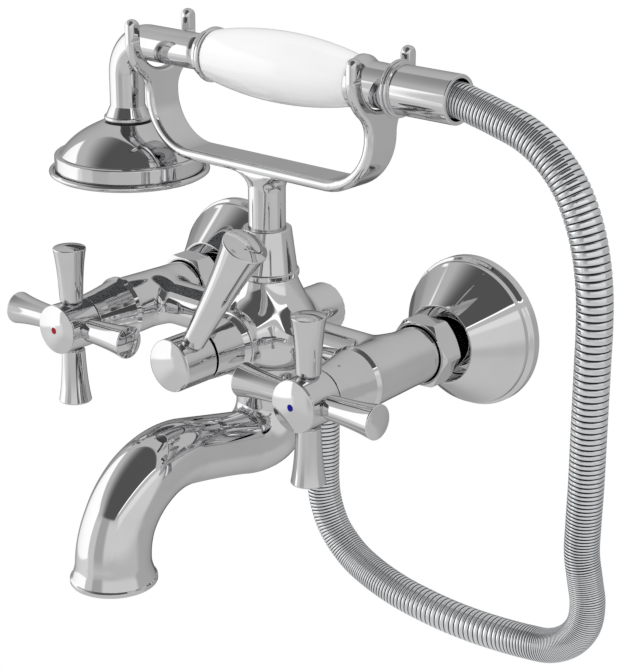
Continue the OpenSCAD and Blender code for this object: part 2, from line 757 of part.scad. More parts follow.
module fork_outline() difference() {
    union() {
        translate([-strap_w / 2, bend_centre_z]) square([strap_w, fork_centre - bend_centre_z]);
        difference() {
            translate([-fillet_y, fillet_z]) square([2 * fillet_y, fork_centre - fillet_z]);
            for (s = [-1, 1]) translate([s * fillet_y, fillet_z]) circle(r = fork_fillet);
            difference() {
                translate([-2 * fillet_y, fillet_z - over])
                    square([4 * fillet_y, fork_centre - fillet_z + 2 * over]);
                translate([0, fork_centre]) circle(r = fork_out);
                polygon([[-fillet_y, fillet_z], [fillet_y, fillet_z], [0, fork_centre]]);
            }
        }
        for (s = [-1, 1]) translate([s * (fork_gap + prong_w) / 2, 0]) {
            translate([-prong_w / 2, fork_centre - join])
                square([prong_w, prong_top - prong_w / 2 - fork_centre + join]);
            translate([0, prong_top - prong_w / 2]) circle(d = prong_w);
        }
    }
    translate([0, fork_centre]) circle(d = fork_gap);
    translate([-fork_gap / 2, fork_centre]) square([fork_gap, prong_top]);
}

module cradle() color(chrome) {
    on_column() rod(stem_d, stem_foot + 0.2, cradle_z + join);
    on_column() intersection() {
        rotate_extrude() difference() {
            translate([0, cradle_z - stem_flare]) square([stem_d / 2 + stem_flare, stem_flare + join]);
            translate([stem_d / 2 + stem_flare, cradle_z - stem_flare]) circle(r = stem_flare);
        }
        translate([-strap_w * 2, -strap_w / 2, 0]) cube([strap_w * 4, strap_w, cradle_z + strap_t]);
    }
    on_column() translate([-bend_centre_x, -strap_w / 2, cradle_z])
        cube([2 * bend_centre_x, strap_w, strap_t]);
    for (s = [0, 1]) on_column() mirror([s, 0, 0]) {
        translate([bend_centre_x, strap_w / 2, bend_centre_z]) rotate([90, 0, 0]) linear_extrude(strap_w)
            intersection() {
                difference() {
                    circle(r = cradle_bend_r);
                    circle(r = cradle_bend_r - strap_t);
                }
                translate([0, -cradle_bend_r]) square(cradle_bend_r);
            }
        translate([fork_in, 0, 0]) rotate([90, 0, 90]) linear_extrude(strap_t) fork_outline();
    }
}

// Hand shower

dome_from = [dome_d / 2, band_top];
dome_to = [crown_d / 2, dome_top];
dome_mid = (dome_from + dome_to) / 2;
dome_chord = norm(dome_to - dome_from);
dome_back = sqrt(pow(dome_curve, 2) - pow(dome_chord / 2, 2));
dome_dir = (dome_to - dome_from) / dome_chord;
dome_centre = dome_mid + dome_back * [-dome_dir[1], dome_dir[0]];
dome_a0 = atan2(dome_from[1] - dome_centre[1], dome_from[0] - dome_centre[0]);
dome_a1 = atan2(dome_to[1] - dome_centre[1], dome_to[0] - dome_centre[0]);

module head_shell() color(chrome) on_head() difference() {
    turned(concat([[0, ring_h], [band_d / 2, ring_h], [band_d / 2, band_top - 0.6],
        [band_d / 2 - 0.6, band_top]], arc(dome_centre, dome_curve, dome_a0, dome_a1), [[0, dome_top]]));
    turned(concat([[0, ring_h - over], [band_d / 2 - 2 * shell_wall, ring_h - over],
        [band_d / 2 - 2 * shell_wall, band_top - shell_wall]],
        [for (q = arc(dome_centre, dome_curve - shell_wall, dome_a0, dome_a1)) if (q[0] < dome_d / 2 - 2) q],
        [[0, dome_top - shell_wall]]));
    rod(head_spigot_d + 2 * fit_gap, 0, dome_top + over);
}

module face_ring() color(chrome) on_head() difference() {
    turned(concat([[0, 0], [head_d / 2 - ring_h / 2, 0]],
        arc([head_d / 2 - ring_h / 2, ring_h / 2], ring_h / 2, -90, 90, 8), [[0, ring_h]]));
    rod(face_d + 2 * fit_gap, -over, ring_h + over);
}

module spray_face() color("gainsboro") on_head() difference() {
    union() {
        rod(face_d, nozzle_h, nozzle_h + face_t);
        for (ring = [1 : 4], i = [0 : 6 * ring - 1]) rotate([0, 0, 60 * i / ring])
            translate([face_d * 0.11 * ring, 0, 0]) rod(2 * nozzle_d, 0, nozzle_h + join);
    }
    for (ring = [1 : 4], i = [0 : 6 * ring - 1]) rotate([0, 0, 60 * i / ring])
        translate([face_d * 0.11 * ring, 0, 0]) rod(nozzle_d, -over, nozzle_h + face_t + over);
}

module head_washer() color(rubber) on_head()
    tube(neck_foot_d - 1, head_spigot_d + 2 * fit_gap, dome_top, neck_foot);

module elbow_tube() color(chrome) difference() {
    union() {
        on_head() turned([
            [0, neck_foot], [neck_foot_d / 2, neck_foot], [neck_foot_d / 2, neck_foot + 1],
            [tube_d / 2, neck_foot + neck_flare_h], [0, neck_foot + neck_flare_h]
        ]);
        on_head() rod(head_spigot_d, dome_top - shell_wall - 2, neck_foot + join);
        on_head() rod(tube_d, neck_foot, head_drop - tube_bend_r);
        front_plane() translate([tube_bend_r - head_x, handset_z - tube_bend_r, 0]) rotate([0, 0, 90])
            rotate_extrude(angle = 90) translate([tube_bend_r, 0]) circle(d = tube_d);
        on_handset() rod(tube_d, tube_bend_r - head_x, -ferrule_left);
    }
    on_head() rod(tube_bore_d, 0, head_drop - tube_bend_r);
    front_plane() translate([tube_bend_r - head_x, handset_z - tube_bend_r, 0]) rotate([0, 0, 90])
        rotate_extrude(angle = 90) translate([tube_bend_r, 0]) circle(d = tube_bore_d);
    on_handset() rod(tube_bore_d, tube_bend_r - head_x, -ferrule_left + over);
    on_handset() rod(inner_tube_d + 2 * fit_gap, -ferrule_left - 6, -ferrule_left + over);
}

module front_ferrule() color(chrome) on_handset() difference() {
    turned([
        [0, -ferrule_left], [tube_d / 2 + 1, -ferrule_left], [ferrule_d / 2 - 1.2, -ferrule_left + 1],
        [ferrule_d / 2 - 1.2, -ferrule_left + ferrule_len * 0.4],
        [ferrule_d / 2 - 1.8, -ferrule_left + ferrule_len * 0.5],
        [ferrule_d / 2, -ferrule_left + ferrule_len * 0.65], [ferrule_d / 2, -grip_left - 0.8],
        [ferrule_d / 2 - 0.8, -grip_left], [0, -grip_left]
    ]);
    rod(inner_tube_d + 2 * fit_gap, -ferrule_left - over, over);
}

module water_tube() color(brass) on_handset()
    tube(inner_tube_d, inner_bore_d, -ferrule_left - 5.8, grip_right + 4);

module grip() color(ceramic) on_handset() difference() {
    turned(concat([[0, -grip_left]],
        [for (i = [0 : 24])
            let (x = -grip_left + (grip_left + grip_right) * i / 24)
            [grip_d / 2 - grip_curve + sqrt(pow(grip_curve, 2) - pow(x - grip_middle, 2)), x]],
        [[0, grip_right]]));
    rod(inner_tube_d + 2 * fit_gap, -grip_left - over, grip_right + over);
}

module tail() color(chrome) on_handset() difference() {
    turned([
        [0, grip_right], [grip_end_d / 2, grip_right], [tail_d / 2, grip_right + 1.4],
        [tail_d / 2, grip_right + tail_full], [tail_neck_d / 2, neck_left], [tail_neck_d / 2, neck_right],
        [sleeve_d / 2, sleeve_left], [nipple_d / 2, sleeve_left],
        [nipple_d / 2, sleeve_left + nipple_len], [0, sleeve_left + nipple_len]
    ]);
    rod(inner_tube_d + 2 * fit_gap, grip_right - over, grip_right + 4.2);
    rod(inner_bore_d, grip_right, sleeve_left + nipple_len + over);
}

module hose_sleeve() color(chrome) on_handset() difference() {
    turned([
        [0, sleeve_left], [sleeve_ring_d / 2 - 0.8, sleeve_left], [sleeve_ring_d / 2, sleeve_left + 0.8],
        [sleeve_ring_d / 2, sleeve_left + sleeve_ring_t - 0.8],
        [sleeve_ring_d / 2 - 0.8, sleeve_left + sleeve_ring_t], [sleeve_d / 2, sleeve_left + sleeve_ring_t],
        [sleeve_d / 2, sleeve_end - 0.6], [sleeve_d / 2 - 0.6, sleeve_end], [0, sleeve_end]
    ]);
    rod(nipple_d + 2 * fit_gap, sleeve_left - over, sleeve_left + nipple_len + 0.2);
    rod(hose_bore_d, sleeve_left, sleeve_end);
    rod(sleeve_hole_d, hose_top - seat_gap, sleeve_end + over);
}

// Shower outlet and hose

module at_shower_outlet() translate([outlet_x, -body_reach, 0]) mirror([0, 0, 1]) children();

module outlet_nipple() color(brass) at_shower_outlet() difference() {
    union() {
        translate([0, 0, outlet_face]) cylinder(d = nipple_flats / cos(30), h = nipple_hex, $fn = 6);
        rod(outlet_thread_d, outlet_face + nipple_hex - join, outlet_face + nipple_hex + outlet_thread);
        rod(outlet_bore_d - 2 * fit_gap, outlet_face - 5, outlet_face + join);
    }
    rod(outlet_bore_d - 3, outlet_face - 6, outlet_face + nipple_hex + outlet_thread + over);
}

module hose_nut() color(chrome) at_shower_outlet() difference() {
    turned([
        [0, nut_top], [nut_top_d / 2 - 0.6, nut_top], [nut_top_d / 2, nut_top + 0.6],
        [nut_top_d / 2, nut_top + nut_drop * 0.4], [nut_end_d / 2, nut_end], [0, nut_end]
    ]);
    rod(outlet_thread_d + 2 * fit_gap, nut_top - over, hose_foot);
    rod(hose_d + 2 * fit_gap, hose_foot - join, nut_end + over);
}

// A smooth curve through the route's points: each stretch leans on its two neighbours
function route_at(i) = hose_route[max(0, min(len(hose_route) - 1, i))];
function between(i, u) =
    let (a = route_at(i - 1), b = route_at(i), c = route_at(i + 1), d = route_at(i + 2))
    0.5 * (2 * b + (c - a) * u + (2 * a - 5 * b + 4 * c - d) * u * u
        + (3 * b - a - 3 * c + d) * u * u * u);
fine_steps = 8;
fine = [for (i = [0 : len(hose_route) - 2], k = [0 : fine_steps - 1]) between(i, k / fine_steps),
    route_at(len(hose_route) - 1)];
steps = [for (i = [0 : len(fine) - 2]) norm(fine[i + 1] - fine[i])];
function running(list, i = 0, total = 0, out = []) =
    i == len(list) ? concat(out, [total]) : running(list, i + 1, total + list[i], concat(out, [total]));
length_at = running(steps);
hose_len = length_at[len(length_at) - 1];
table_x = [for (i = [0 : len(fine) - 1]) [length_at[i], fine[i][0]]];
table_z = [for (i = [0 : len(fine) - 1]) [length_at[i], fine[i][1]]];
function hose_point(s) = [lookup(s, table_x), lookup(s, table_z)];
function hose_heading(s) =
    let (a = hose_point(max(0, s - 1)), b = hose_point(min(hose_len, s + 1)))
    (b - a) / norm(b - a);

hose_sides = 8;
bore_rings = 60;
// A ring of points across the hose at distance s along it
function hose_ring(s, r) =
    let (p = hose_point(s), h = hose_heading(s))
    [for (k = [0 : hose_sides - 1])
        let (a = 360 * k / hose_sides)
        [p[0] - r * cos(a) * h[1], -body_reach + r * sin(a), p[1] + r * cos(a) * h[0]]];
function skin(first, rings, flip) = [
    for (i = [0 : rings - 2], k = [0 : hose_sides - 1])
        let (a = first + i * hose_sides + k, b = first + i * hose_sides + (k + 1) % hose_sides,
             c = a + hose_sides, d = b + hose_sides)
        each flip ? [[a, c, b], [b, c, d]] : [[a, b, c], [b, d, c]]
];
function rim(outer, inner, flip) = [
    for (k = [0 : hose_sides - 1])
        let (a = outer + k, b = outer + (k + 1) % hose_sides,
             c = inner + k, d = inner + (k + 1) % hose_sides)
        each flip ? [[a, b, c], [b, d, c]] : [[a, c, b], [b, c, d]]
];

module hose() color(chrome) {
    rib_rings = 2 * rib_count + 1;
    outside = [for (i = [0 : rib_rings - 1])
        hose_ring(hose_len * i / (rib_rings - 1), hose_d / 2 - (i % 2 == 0 ? rib_depth : 0))];
    inside = [for (i = [0 : bore_rings - 1]) hose_ring(hose_len * i / (bore_rings - 1), hose_bore_d / 2)];
    points = [for (ring = concat(outside, inside)) each ring];
    bore_first = rib_rings * hose_sides;
    polyhedron(points, concat(
        skin(0, rib_rings, true), skin(bore_first, bore_rings, false),
        rim(0, bore_first, true),
        rim(bore_first - hose_sides, bore_first + (bore_rings - 1) * hose_sides, false)));
}

body_casting();
rear_plug();
spout();
aerator_housing();
aerator_insert();
wall_flange(hot_x);  // hot_flange
wall_union(hot_x);  // hot_union
union_nut(hot_x);  // hot_union_nut
union_washer(hot_x);  // hot_union_washer
cartridge(hot_x);  // hot_cartridge
fixed_disc(hot_x);  // hot_fixed_disc
cartridge_seal(hot_x);  // hot_cartridge_seal
bonnet(hot_x);  // hot_bonnet
spindle(hot_x);  // hot_spindle
moving_disc(hot_x);  // hot_moving_disc
hub(hot_x);  // hot_hub
arms(hot_x);  // hot_arms
cap(hot_x);  // hot_cap
dot(hot_x, "red");  // hot_dot
handle_screw(hot_x);  // hot_screw
wall_flange(cold_x);  // cold_flange
wall_union(cold_x);  // cold_union
union_nut(cold_x);  // cold_union_nut
union_washer(cold_x);  // cold_union_washer
cartridge(cold_x);  // cold_cartridge
fixed_disc(cold_x);  // cold_fixed_disc
cartridge_seal(cold_x);  // cold_cartridge_seal
bonnet(cold_x);  // cold_bonnet
spindle(cold_x);  // cold_spindle
moving_disc(cold_x);  // cold_moving_disc
hub(cold_x);  // cold_hub
arms(cold_x);  // cold_arms
cap(cold_x);  // cold_cap
dot(cold_x, "blue");  // cold_dot
handle_screw(cold_x);  // cold_screw
diverter_cartridge();
diverter_seal();
diverter_bonnet();
diverter_spindle();
diverter_rotor();
diverter_knob();
diverter_lever();
diverter_grub_screw();
cradle_collar();
collar_ring();
cradle();
head_shell();
face_ring();
spray_face();
head_washer();
elbow_tube();
front_ferrule();
water_tube();
grip();
tail();
hose_sleeve();
hose();
hose_nut();
outlet_nipple();
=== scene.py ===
# %% [markdown]
# # A bath shower mixer, dressed for its picture
# The CAD model gives every piece its size and place. This file loads it as a fixed frame
# and puts finer surfaces and real finishes on it. Lengths in the formulas are millimetres,
# because the drawings are, and they turn into metres only when a mesh is made.

# %% Load the frame
import json
from itertools import product

import bpy
import numpy as np
from mathutils import Matrix


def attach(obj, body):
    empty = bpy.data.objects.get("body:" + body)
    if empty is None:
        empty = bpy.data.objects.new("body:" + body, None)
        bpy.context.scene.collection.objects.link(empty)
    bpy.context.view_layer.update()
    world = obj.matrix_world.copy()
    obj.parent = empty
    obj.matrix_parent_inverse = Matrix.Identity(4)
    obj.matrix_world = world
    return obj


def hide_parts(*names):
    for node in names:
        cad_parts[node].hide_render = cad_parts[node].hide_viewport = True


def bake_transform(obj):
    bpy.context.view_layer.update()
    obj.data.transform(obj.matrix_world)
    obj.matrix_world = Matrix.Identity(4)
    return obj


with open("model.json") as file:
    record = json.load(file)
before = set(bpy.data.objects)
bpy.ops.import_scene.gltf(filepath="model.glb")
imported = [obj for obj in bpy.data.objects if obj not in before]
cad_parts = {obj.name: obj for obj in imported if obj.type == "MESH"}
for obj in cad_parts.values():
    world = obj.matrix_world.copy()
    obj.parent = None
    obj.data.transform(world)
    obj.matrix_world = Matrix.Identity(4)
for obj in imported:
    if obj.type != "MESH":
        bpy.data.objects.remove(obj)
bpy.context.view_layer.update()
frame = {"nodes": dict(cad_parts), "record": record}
MM = 0.001

# %% [markdown]
# ## Camera
# The photograph looks down on the mixer from its right front. A camera could be pointed
# with a Track To constraint, but the three axes of its view were measured from the
# picture, so they go straight into its matrix. A long lens keeps the handles in proportion.

# %% Camera
view_right = (0.7556, 0.6550, 0.0)
view_up = (-0.2223, 0.2565, 0.9407)
view_back = (0.6163, -0.7107, 0.3394)
camera_place = (0.59531, -0.72259, 0.31719)
camera = bpy.data.objects.new("product_camera", bpy.data.cameras.new("product_camera"))
bpy.context.collection.objects.link(camera)
camera.matrix_world = Matrix([
    (view_right[i], view_up[i], view_back[i], camera_place[i]) for i in range(3)] + [(0, 0, 0, 1)])
camera.data.sensor_width = 36
camera.data.lens = 106.26
camera.data.dof.use_dof = False
bpy.context.scene.camera = camera
print("camera is", round(1000 * camera.location.length), "mm from the middle of the wall line")

# %% [markdown]
# ## Colours and nodes
# Colours are written as the hex values that a paint program shows. Shaders count light,
# so each hex value is turned from the screen's curve to linear. One small function adds a
# node, sets its values and links its sockets, which keeps every finish a short list.

# %% Colours and nodes
def linear(hex_colour):
    """An sRGB hex colour as linear RGBA: each channel goes through the screen's inverse curve."""
    c = np.array([int(hex_colour[i:i + 2], 16) for i in (1, 3, 5)]) / 255
    return tuple(np.where(c <= 0.04045, c / 12.92, ((c + 0.055) / 1.055) ** 2.4)) + (1.0,)


def add_node(tree, kind, values=None, links=None, **settings):
    """Adds a node, sets its properties and socket values, and links sockets to other outputs."""
    made = tree.nodes.new(kind)
    for key, value in settings.items():
        setattr(made, key, value)
    for key, value in (values or {}).items():
        made.inputs[key].default_value = value
    for key, output in (links or {}).items():
        tree.links.new(output, made.inputs[key])
    return made


def new_finish(name):
    """A named material with an empty node tree and its output node."""
    finish = bpy.data.materials.new(name)
    finish.use_nodes = True
    finish.node_tree.nodes.clear()
    return finish, finish.node_tree, finish.node_tree.nodes.new("ShaderNodeOutputMaterial")


def per_metre(millimetres):
    """The texture scale that gives a pattern this size, since textures count repeats in a metre."""
    return 1000 / millimetres

# %% [markdown]
# ## Chrome plate
# The body is cast brass, ground, buffed and plated with bright nickel and chromium. What
# the eye gets is a mirror a shade darker than silver, whose reflections waver a little
# where the buffing wheel left the surface not quite even. A mirror alone could be one
# colour and roughness 0, but then it looks drawn: slow noise moves the colour and the gloss
# a little, a very shallow bump of about 9 mm gives the buffed waver, and the specular tint
# keeps the edges, where every metal turns to a full mirror, a little below white.

# %% Chrome plate
def chrome_finish(name, light, shade, gloss, waver):
    """Polished chromium: metal whose colour and roughness drift with noise, over a shallow bump."""
    finish, tree, out = new_finish(name)
    place = add_node(tree, "ShaderNodeTexCoord")
    drift = add_node(tree, "ShaderNodeTexNoise", {"Scale": per_metre(22), "Detail": 3.0},
                     {"Vector": place.outputs["Object"]})
    buff = add_node(tree, "ShaderNodeTexNoise", {"Scale": per_metre(9), "Detail": 1.0},
                    {"Vector": place.outputs["Object"]})
    tint = add_node(tree, "ShaderNodeValToRGB", None, {"Fac": drift.outputs["Fac"]})
    dark, pale = tint.color_ramp.elements
    dark.position, pale.position = 0.3, 0.7
    dark.color, pale.color = linear(shade), linear(light)
    rough = add_node(tree, "ShaderNodeMapRange", {"To Min": gloss[0], "To Max": gloss[1]},
                     {"Value": drift.outputs["Fac"]})
    bump = add_node(tree, "ShaderNodeBump", {"Strength": waver, "Distance": 0.0002},
                    {"Height": buff.outputs["Fac"]})
    shader = add_node(tree, "ShaderNodeBsdfPrincipled",
                      {"Metallic": 1.0, "Specular Tint": linear("#D0D0D0")},
                      {"Base Color": tint.outputs["Color"], "Roughness": rough.outputs["Result"],
                       "Normal": bump.outputs["Normal"]})
    tree.links.new(shader.outputs["BSDF"], out.inputs["Surface"])
    return finish


chrome = chrome_finish("chrome_plated_brass", "#DEDEDF", "#D9D9DA", (0.005, 0.03), 0.02)
print("made", chrome.name)

# %% [markdown]
# ## Surfaces from grids
# Nearly every piece here was turned on a lathe or bent from tube. A turned piece could be
# a Screw modifier on a drawn outline. Working the grid out with numpy instead gives exact
# surface normals too, and on chrome the normals are what the eye sees.

# %% Grid to mesh
def grid_faces(points, normals, loop=False):
    """Faces of a grid that closes around its columns: each face takes two neighbours in this
    row and two in the next. A first or last row that is a single point becomes one vertex."""
    rows, cols = points.shape[:2]
    index = np.arange(rows * cols).reshape(rows, cols)
    for end in (0, -1):
        if not loop and np.ptp(points[end], axis=0).max() < 1e-6:
            index[end] = index[end][0]
    near, far = (index, np.roll(index, -1, 0)) if loop else (index[:-1], index[1:])
    quads = np.stack([near, np.roll(near, -1, 1), np.roll(far, -1, 1), far], -1).reshape(-1, 4)
    flat = points.reshape(-1, 3)
    across = np.cross(flat[quads[:, 2]] - flat[quads[:, 0]], flat[quads[:, 3]] - flat[quads[:, 1]])
    facing = (across * normals.reshape(-1, 3)[quads].mean(1)).sum()
    return quads if facing > 0 else quads[:, ::-1]


def make_mesh(name, grids):
    """One mesh from several (points, normals, faces) lists, in metres, with the exact normals kept."""
    points = np.concatenate([g[0].reshape(-1, 3) for g in grids])
    normals = np.concatenate([g[1].reshape(-1, 3) for g in grids])
    first = np.cumsum([0] + [g[0].reshape(-1, 3).shape[0] for g in grids])
    faces = np.concatenate([g[2] + start for g, start in zip(grids, first)])
    used, faces = np.unique(faces, return_inverse=True)
    faces = faces.reshape(-1, 4)
    point_faces = (np.diff(np.concatenate([faces, faces[:, :1]], 1), axis=1) == 0).any(1)
    triangles = [list(dict.fromkeys(f)) for f in faces[point_faces].tolist()]
    mesh = bpy.data.meshes.new(name)
    mesh.from_pydata((points[used] * MM).tolist(), [], faces[~point_faces].tolist() + triangles)
    mesh.shade_smooth()
    mesh.normals_split_custom_set_from_vertices(
        (normals[used] / np.linalg.norm(normals[used], axis=1, keepdims=True)).tolist())
    return mesh


def add_piece(name, grids, finish, body, nodes):
    """Makes the object, lets it ride on its body, and hides the CAD nodes it stands for."""
    piece = bpy.data.objects.new(name, make_mesh(name, grids))
    bpy.context.collection.objects.link(piece)
    piece.data.materials.append(finish)
    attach(piece, body)
    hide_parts(*nodes)
    print(name, "has", len(piece.data.polygons), "faces")
    return piece

# %% [markdown]
# ## The hose
# A shower hose is a strip of chromed metal wound into interlocking rings around a thin
# inner tube. It is limp, so it hangs in one loop from the sleeve of the hand shower to the
# outlet under the body, and the photograph shows all of it. A Bezier curve could be drawn
# over the picture. Here the route is a smooth line through points measured on it, all in
# the plane of the hand shower, because its length is then known at every point.

# %% Hose route
COLUMN = 65.5
hose_points = np.array([
    (93.5, 128), (109, 128), (119, 126), (131, 123), (144, 119), (156, 112), (166, 102), (173, 90),
    (178, 76), (181, 60), (182, 44), (182, 26), (182, 8), (182, -10), (182, -28), (181.6, -46),
    (181.6, -60), (183.8, -72), (185.8, -83), (184.4, -94), (178, -103.6), (167.5, -110.2),
    (155, -112.6), (140, -114.2), (126, -115), (112, -115), (97, -114), (82, -112), (67, -108),
    (54, -102), (43, -92), (37, -80), (35, -68), (35, -52), (35, -25)], float)
STEPS_BETWEEN = 12


def through(points, steps):
    """A smooth curve through the points: each stretch is a cubic that leans on its neighbours."""
    padded = np.concatenate([points[:1], points, points[-1:]])
    a, b, c, d = (padded[i:len(padded) - 3 + i, None] for i in range(4))
    u = np.linspace(0, 1, steps, endpoint=False)[None, :, None]
    curve = 0.5 * (2 * b + (c - a) * u + (2 * a - 5 * b + 4 * c - d) * u ** 2
                   + (3 * b - a - 3 * c + d) * u ** 3)
    return np.concatenate([curve.reshape(-1, 2), points[-1:]])


def along(curve):
    """Distance run along a curve at each of its points."""
    return np.concatenate([[0], np.cumsum(np.linalg.norm(np.diff(curve, axis=0), axis=1))])


hose_curve = through(hose_points, STEPS_BETWEEN)
hose_run = along(hose_curve)
hose_length = hose_run[-1]
print("hose length in mm:", round(hose_length))

# %% [markdown]
# ## The rings of the hose
# A curve with a bevel would give a smooth pipe. A grid carried along the route gives every
# ring its crown and its groove instead. The rings stand as far apart as in the picture:
# pulled open on the right, and pushed shut in the lower bend. So their spacing is a table of
# distances along the hose, and they are counted off by adding up how many fit. Where rings
# are close, their grooves are narrower and shallower too.

# %% Hose surface
HOSE_R = 7.75
ring_spacing = np.array([
    (0, 1.6), (20, 1.6), (50, 2.05), (72, 2.15), (92, 2.8), (130, 3.4), (158, 3.25), (181, 2.75),
    (201, 2.2), (231, 1.55), (251, 1.3), (254, 0.95), (300, 0.95), (318, 1.6), (334, 2.6),
    (355, 2.8), (373, 2.55), (397, 1.55), (408, 1.1), (417, 1.0), (420, 1.2), (438, 1.55),
    (481, 2.0), (700, 2.1)])
rows_on_ring = np.array([0.0, 0.07, 0.14, 0.29, 0.5, 0.71, 0.86, 0.93])


def hose_place(run):
    """Points of the route at the given distances along it."""
    return np.stack([np.interp(run, hose_run, hose_curve[:, i]) for i in (0, 1)], 1)


def hose_grid(sides=40):
    """Rings along the route: the radius is full over a ring's crown and drops in a narrow groove
    where two rings meet; the ring count is the run divided by the local spacing, added up."""
    s = np.linspace(0, hose_length, 20001)
    count = np.concatenate([[0], np.cumsum(np.diff(s) / np.interp(s[:-1], *ring_spacing.T))])
    rings = int(count[-1])
    phase = (np.arange(rings)[:, None] + rows_on_ring[None, :]).ravel()
    s_row = np.interp(phase * count[-1] / rings, count, s)
    from_edge = np.abs((phase + 0.5) % 1 - 0.5)
    spacing = np.interp(s_row, *ring_spacing.T)
    groove_width = np.interp(spacing, [0.95, 1.3, 3.4], [0.12, 0.2, 0.26])
    groove_depth = np.minimum(0.3 * spacing, 0.55)
    groove = np.exp(-(from_edge * spacing / groove_width) ** 2)
    radius = HOSE_R - groove_depth * (groove + 0.2 * (1 - 2 * from_edge) ** 5)
    centre, heading = hose_place(s_row), hose_place(s_row + 1.0) - hose_place(s_row - 1.0)
    heading = heading / np.linalg.norm(heading, axis=1, keepdims=True)
    turn = 2 * np.pi * np.arange(sides) / sides
    side = np.stack([-heading[:, 1], 0 * s_row, heading[:, 0]], 1)[:, None]
    forward = np.stack([heading[:, 0], 0 * s_row, heading[:, 1]], 1)[:, None]
    spoke = np.cos(turn)[:, None] * side + np.sin(turn)[:, None] * np.array([0, 1.0, 0])
    middle = np.stack([centre[:, 0], 0 * s_row - COLUMN, centre[:, 1]], 1)[:, None]
    slope = np.gradient(radius, s_row)[:, None, None]
    first, last = (np.repeat(middle[e], sides, 0)[None] for e in (0, -1))
    back, front = (np.repeat(way * forward[e], sides, 0)[None] for e, way in ((0, -1), (-1, 1)))
    points = np.concatenate([first, middle + radius[:, None, None] * spoke, last])
    normals = np.concatenate([back, spoke - slope * forward, front])
    # How deep each point lies: the mask for the painted shade in the grooves.
    depth = np.concatenate([[1], groove, [1]])
    return points, normals, np.repeat(depth, sides), rings


hose_surface, hose_normals, hose_groove_shade, hose_rings = hose_grid()
print("hose rings:", hose_rings)

# %% [markdown]
# ## Finish of the hose
# The wound strip is the same bright plate, and the grooves between its rings are painted
# dark: painted shade, for the shadow that falls into them. The mesh carries how deep each
# point lies as an attribute, and the finish darkens by it, so the painted shade follows the
# rings wherever the hose goes. The rings are too fine to be mirrored cleanly in the other
# pieces, where they would only shimmer, so rays that come off gloss pass the hose by.

# %% Hose finish
def hose_finish():
    """Chromed strip: bright on the crown, painted shade in the groove, with slow noise in its gloss."""
    finish, tree, out = new_finish("chromed_wound_strip")
    place = add_node(tree, "ShaderNodeTexCoord")
    noise = add_node(tree, "ShaderNodeTexNoise", {"Scale": per_metre(14), "Detail": 2.0},
                     {"Vector": place.outputs["Object"]})
    depth = add_node(tree, "ShaderNodeAttribute", attribute_name="groove")
    # Painted shade: the ramp turns the chrome near black where the groove attribute is high.
    tint = add_node(tree, "ShaderNodeValToRGB", None, {"Fac": depth.outputs["Fac"]})
    crown, groove = tint.color_ramp.elements
    crown.position, groove.position = 0.06, 0.48
    crown.color, groove.color = linear("#E8EAEC"), linear("#151619")
    rough = add_node(tree, "ShaderNodeMapRange", {"To Min": 0.03, "To Max": 0.07},
                     {"Value": noise.outputs["Fac"]})
    shader = add_node(tree, "ShaderNodeBsdfPrincipled", {"Metallic": 1.0},
                      {"Base Color": tint.outputs["Color"], "Roughness": rough.outputs["Result"]})
    tree.links.new(shader.outputs["BSDF"], out.inputs["Surface"])
    return finish


hose_faces = grid_faces(hose_surface, hose_normals)
hose_mesh = make_mesh("shower_hose", [(hose_surface, hose_normals, hose_faces)])
hose = bpy.data.objects.new("shower_hose", hose_mesh)
bpy.context.collection.objects.link(hose)
sides = hose_surface.shape[1]
# The groove depth of each kept point, the mask for the painted shade in the grooves.
painted_groove_shade = np.concatenate([hose_groove_shade[:1], hose_groove_shade[sides:-sides], hose_groove_shade[-1:]])
groove_shade_data = hose_mesh.attributes.new("groove", "FLOAT", "POINT").data
groove_shade_data.foreach_set("value", painted_groove_shade.astype(np.float32))
hose_mesh.materials.append(hose_finish())
hose.visible_glossy = False
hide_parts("hose")
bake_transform(hose)
print("hose faces:", len(hose_mesh.polygons))

# %% [markdown]
# ## Turned pieces
# A lathe tool follows an outline while the piece spins. The outline here is a list of
# corners, each with its own rounding, because no buffed edge is sharp: the small rounding
# is what catches the bright line along every rim. A corner with a very large rounding
# stops halfway to its neighbours, so a row of such corners becomes a smooth curve.

# %% Outline and lathe
BIG = 1e6


def rounded(corners, steps=6):
    """An outline of (distance, radius, rounding) corners: each corner is replaced by a parabola
    that starts and ends on its two sides, at most halfway along them. Returns the distances, the
    radii, and the normal, which is the heading turned a quarter to the left."""
    c = np.array(corners, float)
    p, side = c[:, :2], np.diff(c[:, :2], axis=0)
    length = np.linalg.norm(side, axis=1)
    way = side / length[:, None]
    bend = np.arccos(np.clip((way[:-1] * way[1:]).sum(1), -1, 1))
    cut = np.minimum(np.minimum(c[1:-1, 2] * np.tan(bend / 2), length[:-1] / 2), length[1:] / 2)
    u = np.linspace(0, 1, steps)[None, :, None]
    start, end = p[1:-1] - cut[:, None] * way[:-1], p[1:-1] + cut[:, None] * way[1:]
    arcs = (1 - u) ** 2 * start[:, None] + 2 * u * (1 - u) * p[1:-1, None] + u ** 2 * end[:, None]
    headings = (1 - u) * way[:-1, None] + u * way[1:, None]
    line = np.concatenate([p[:1], arcs.reshape(-1, 2), p[-1:]])
    heading = np.concatenate([way[:1], headings.reshape(-1, 2), way[-1:]])
    keep = np.concatenate([[True], np.linalg.norm(np.diff(line, axis=0), axis=1) > 1e-4])
    heading = heading / np.linalg.norm(heading, axis=1, keepdims=True)
    return line[keep, 0], line[keep, 1], -heading[keep, 1], heading[keep, 0]


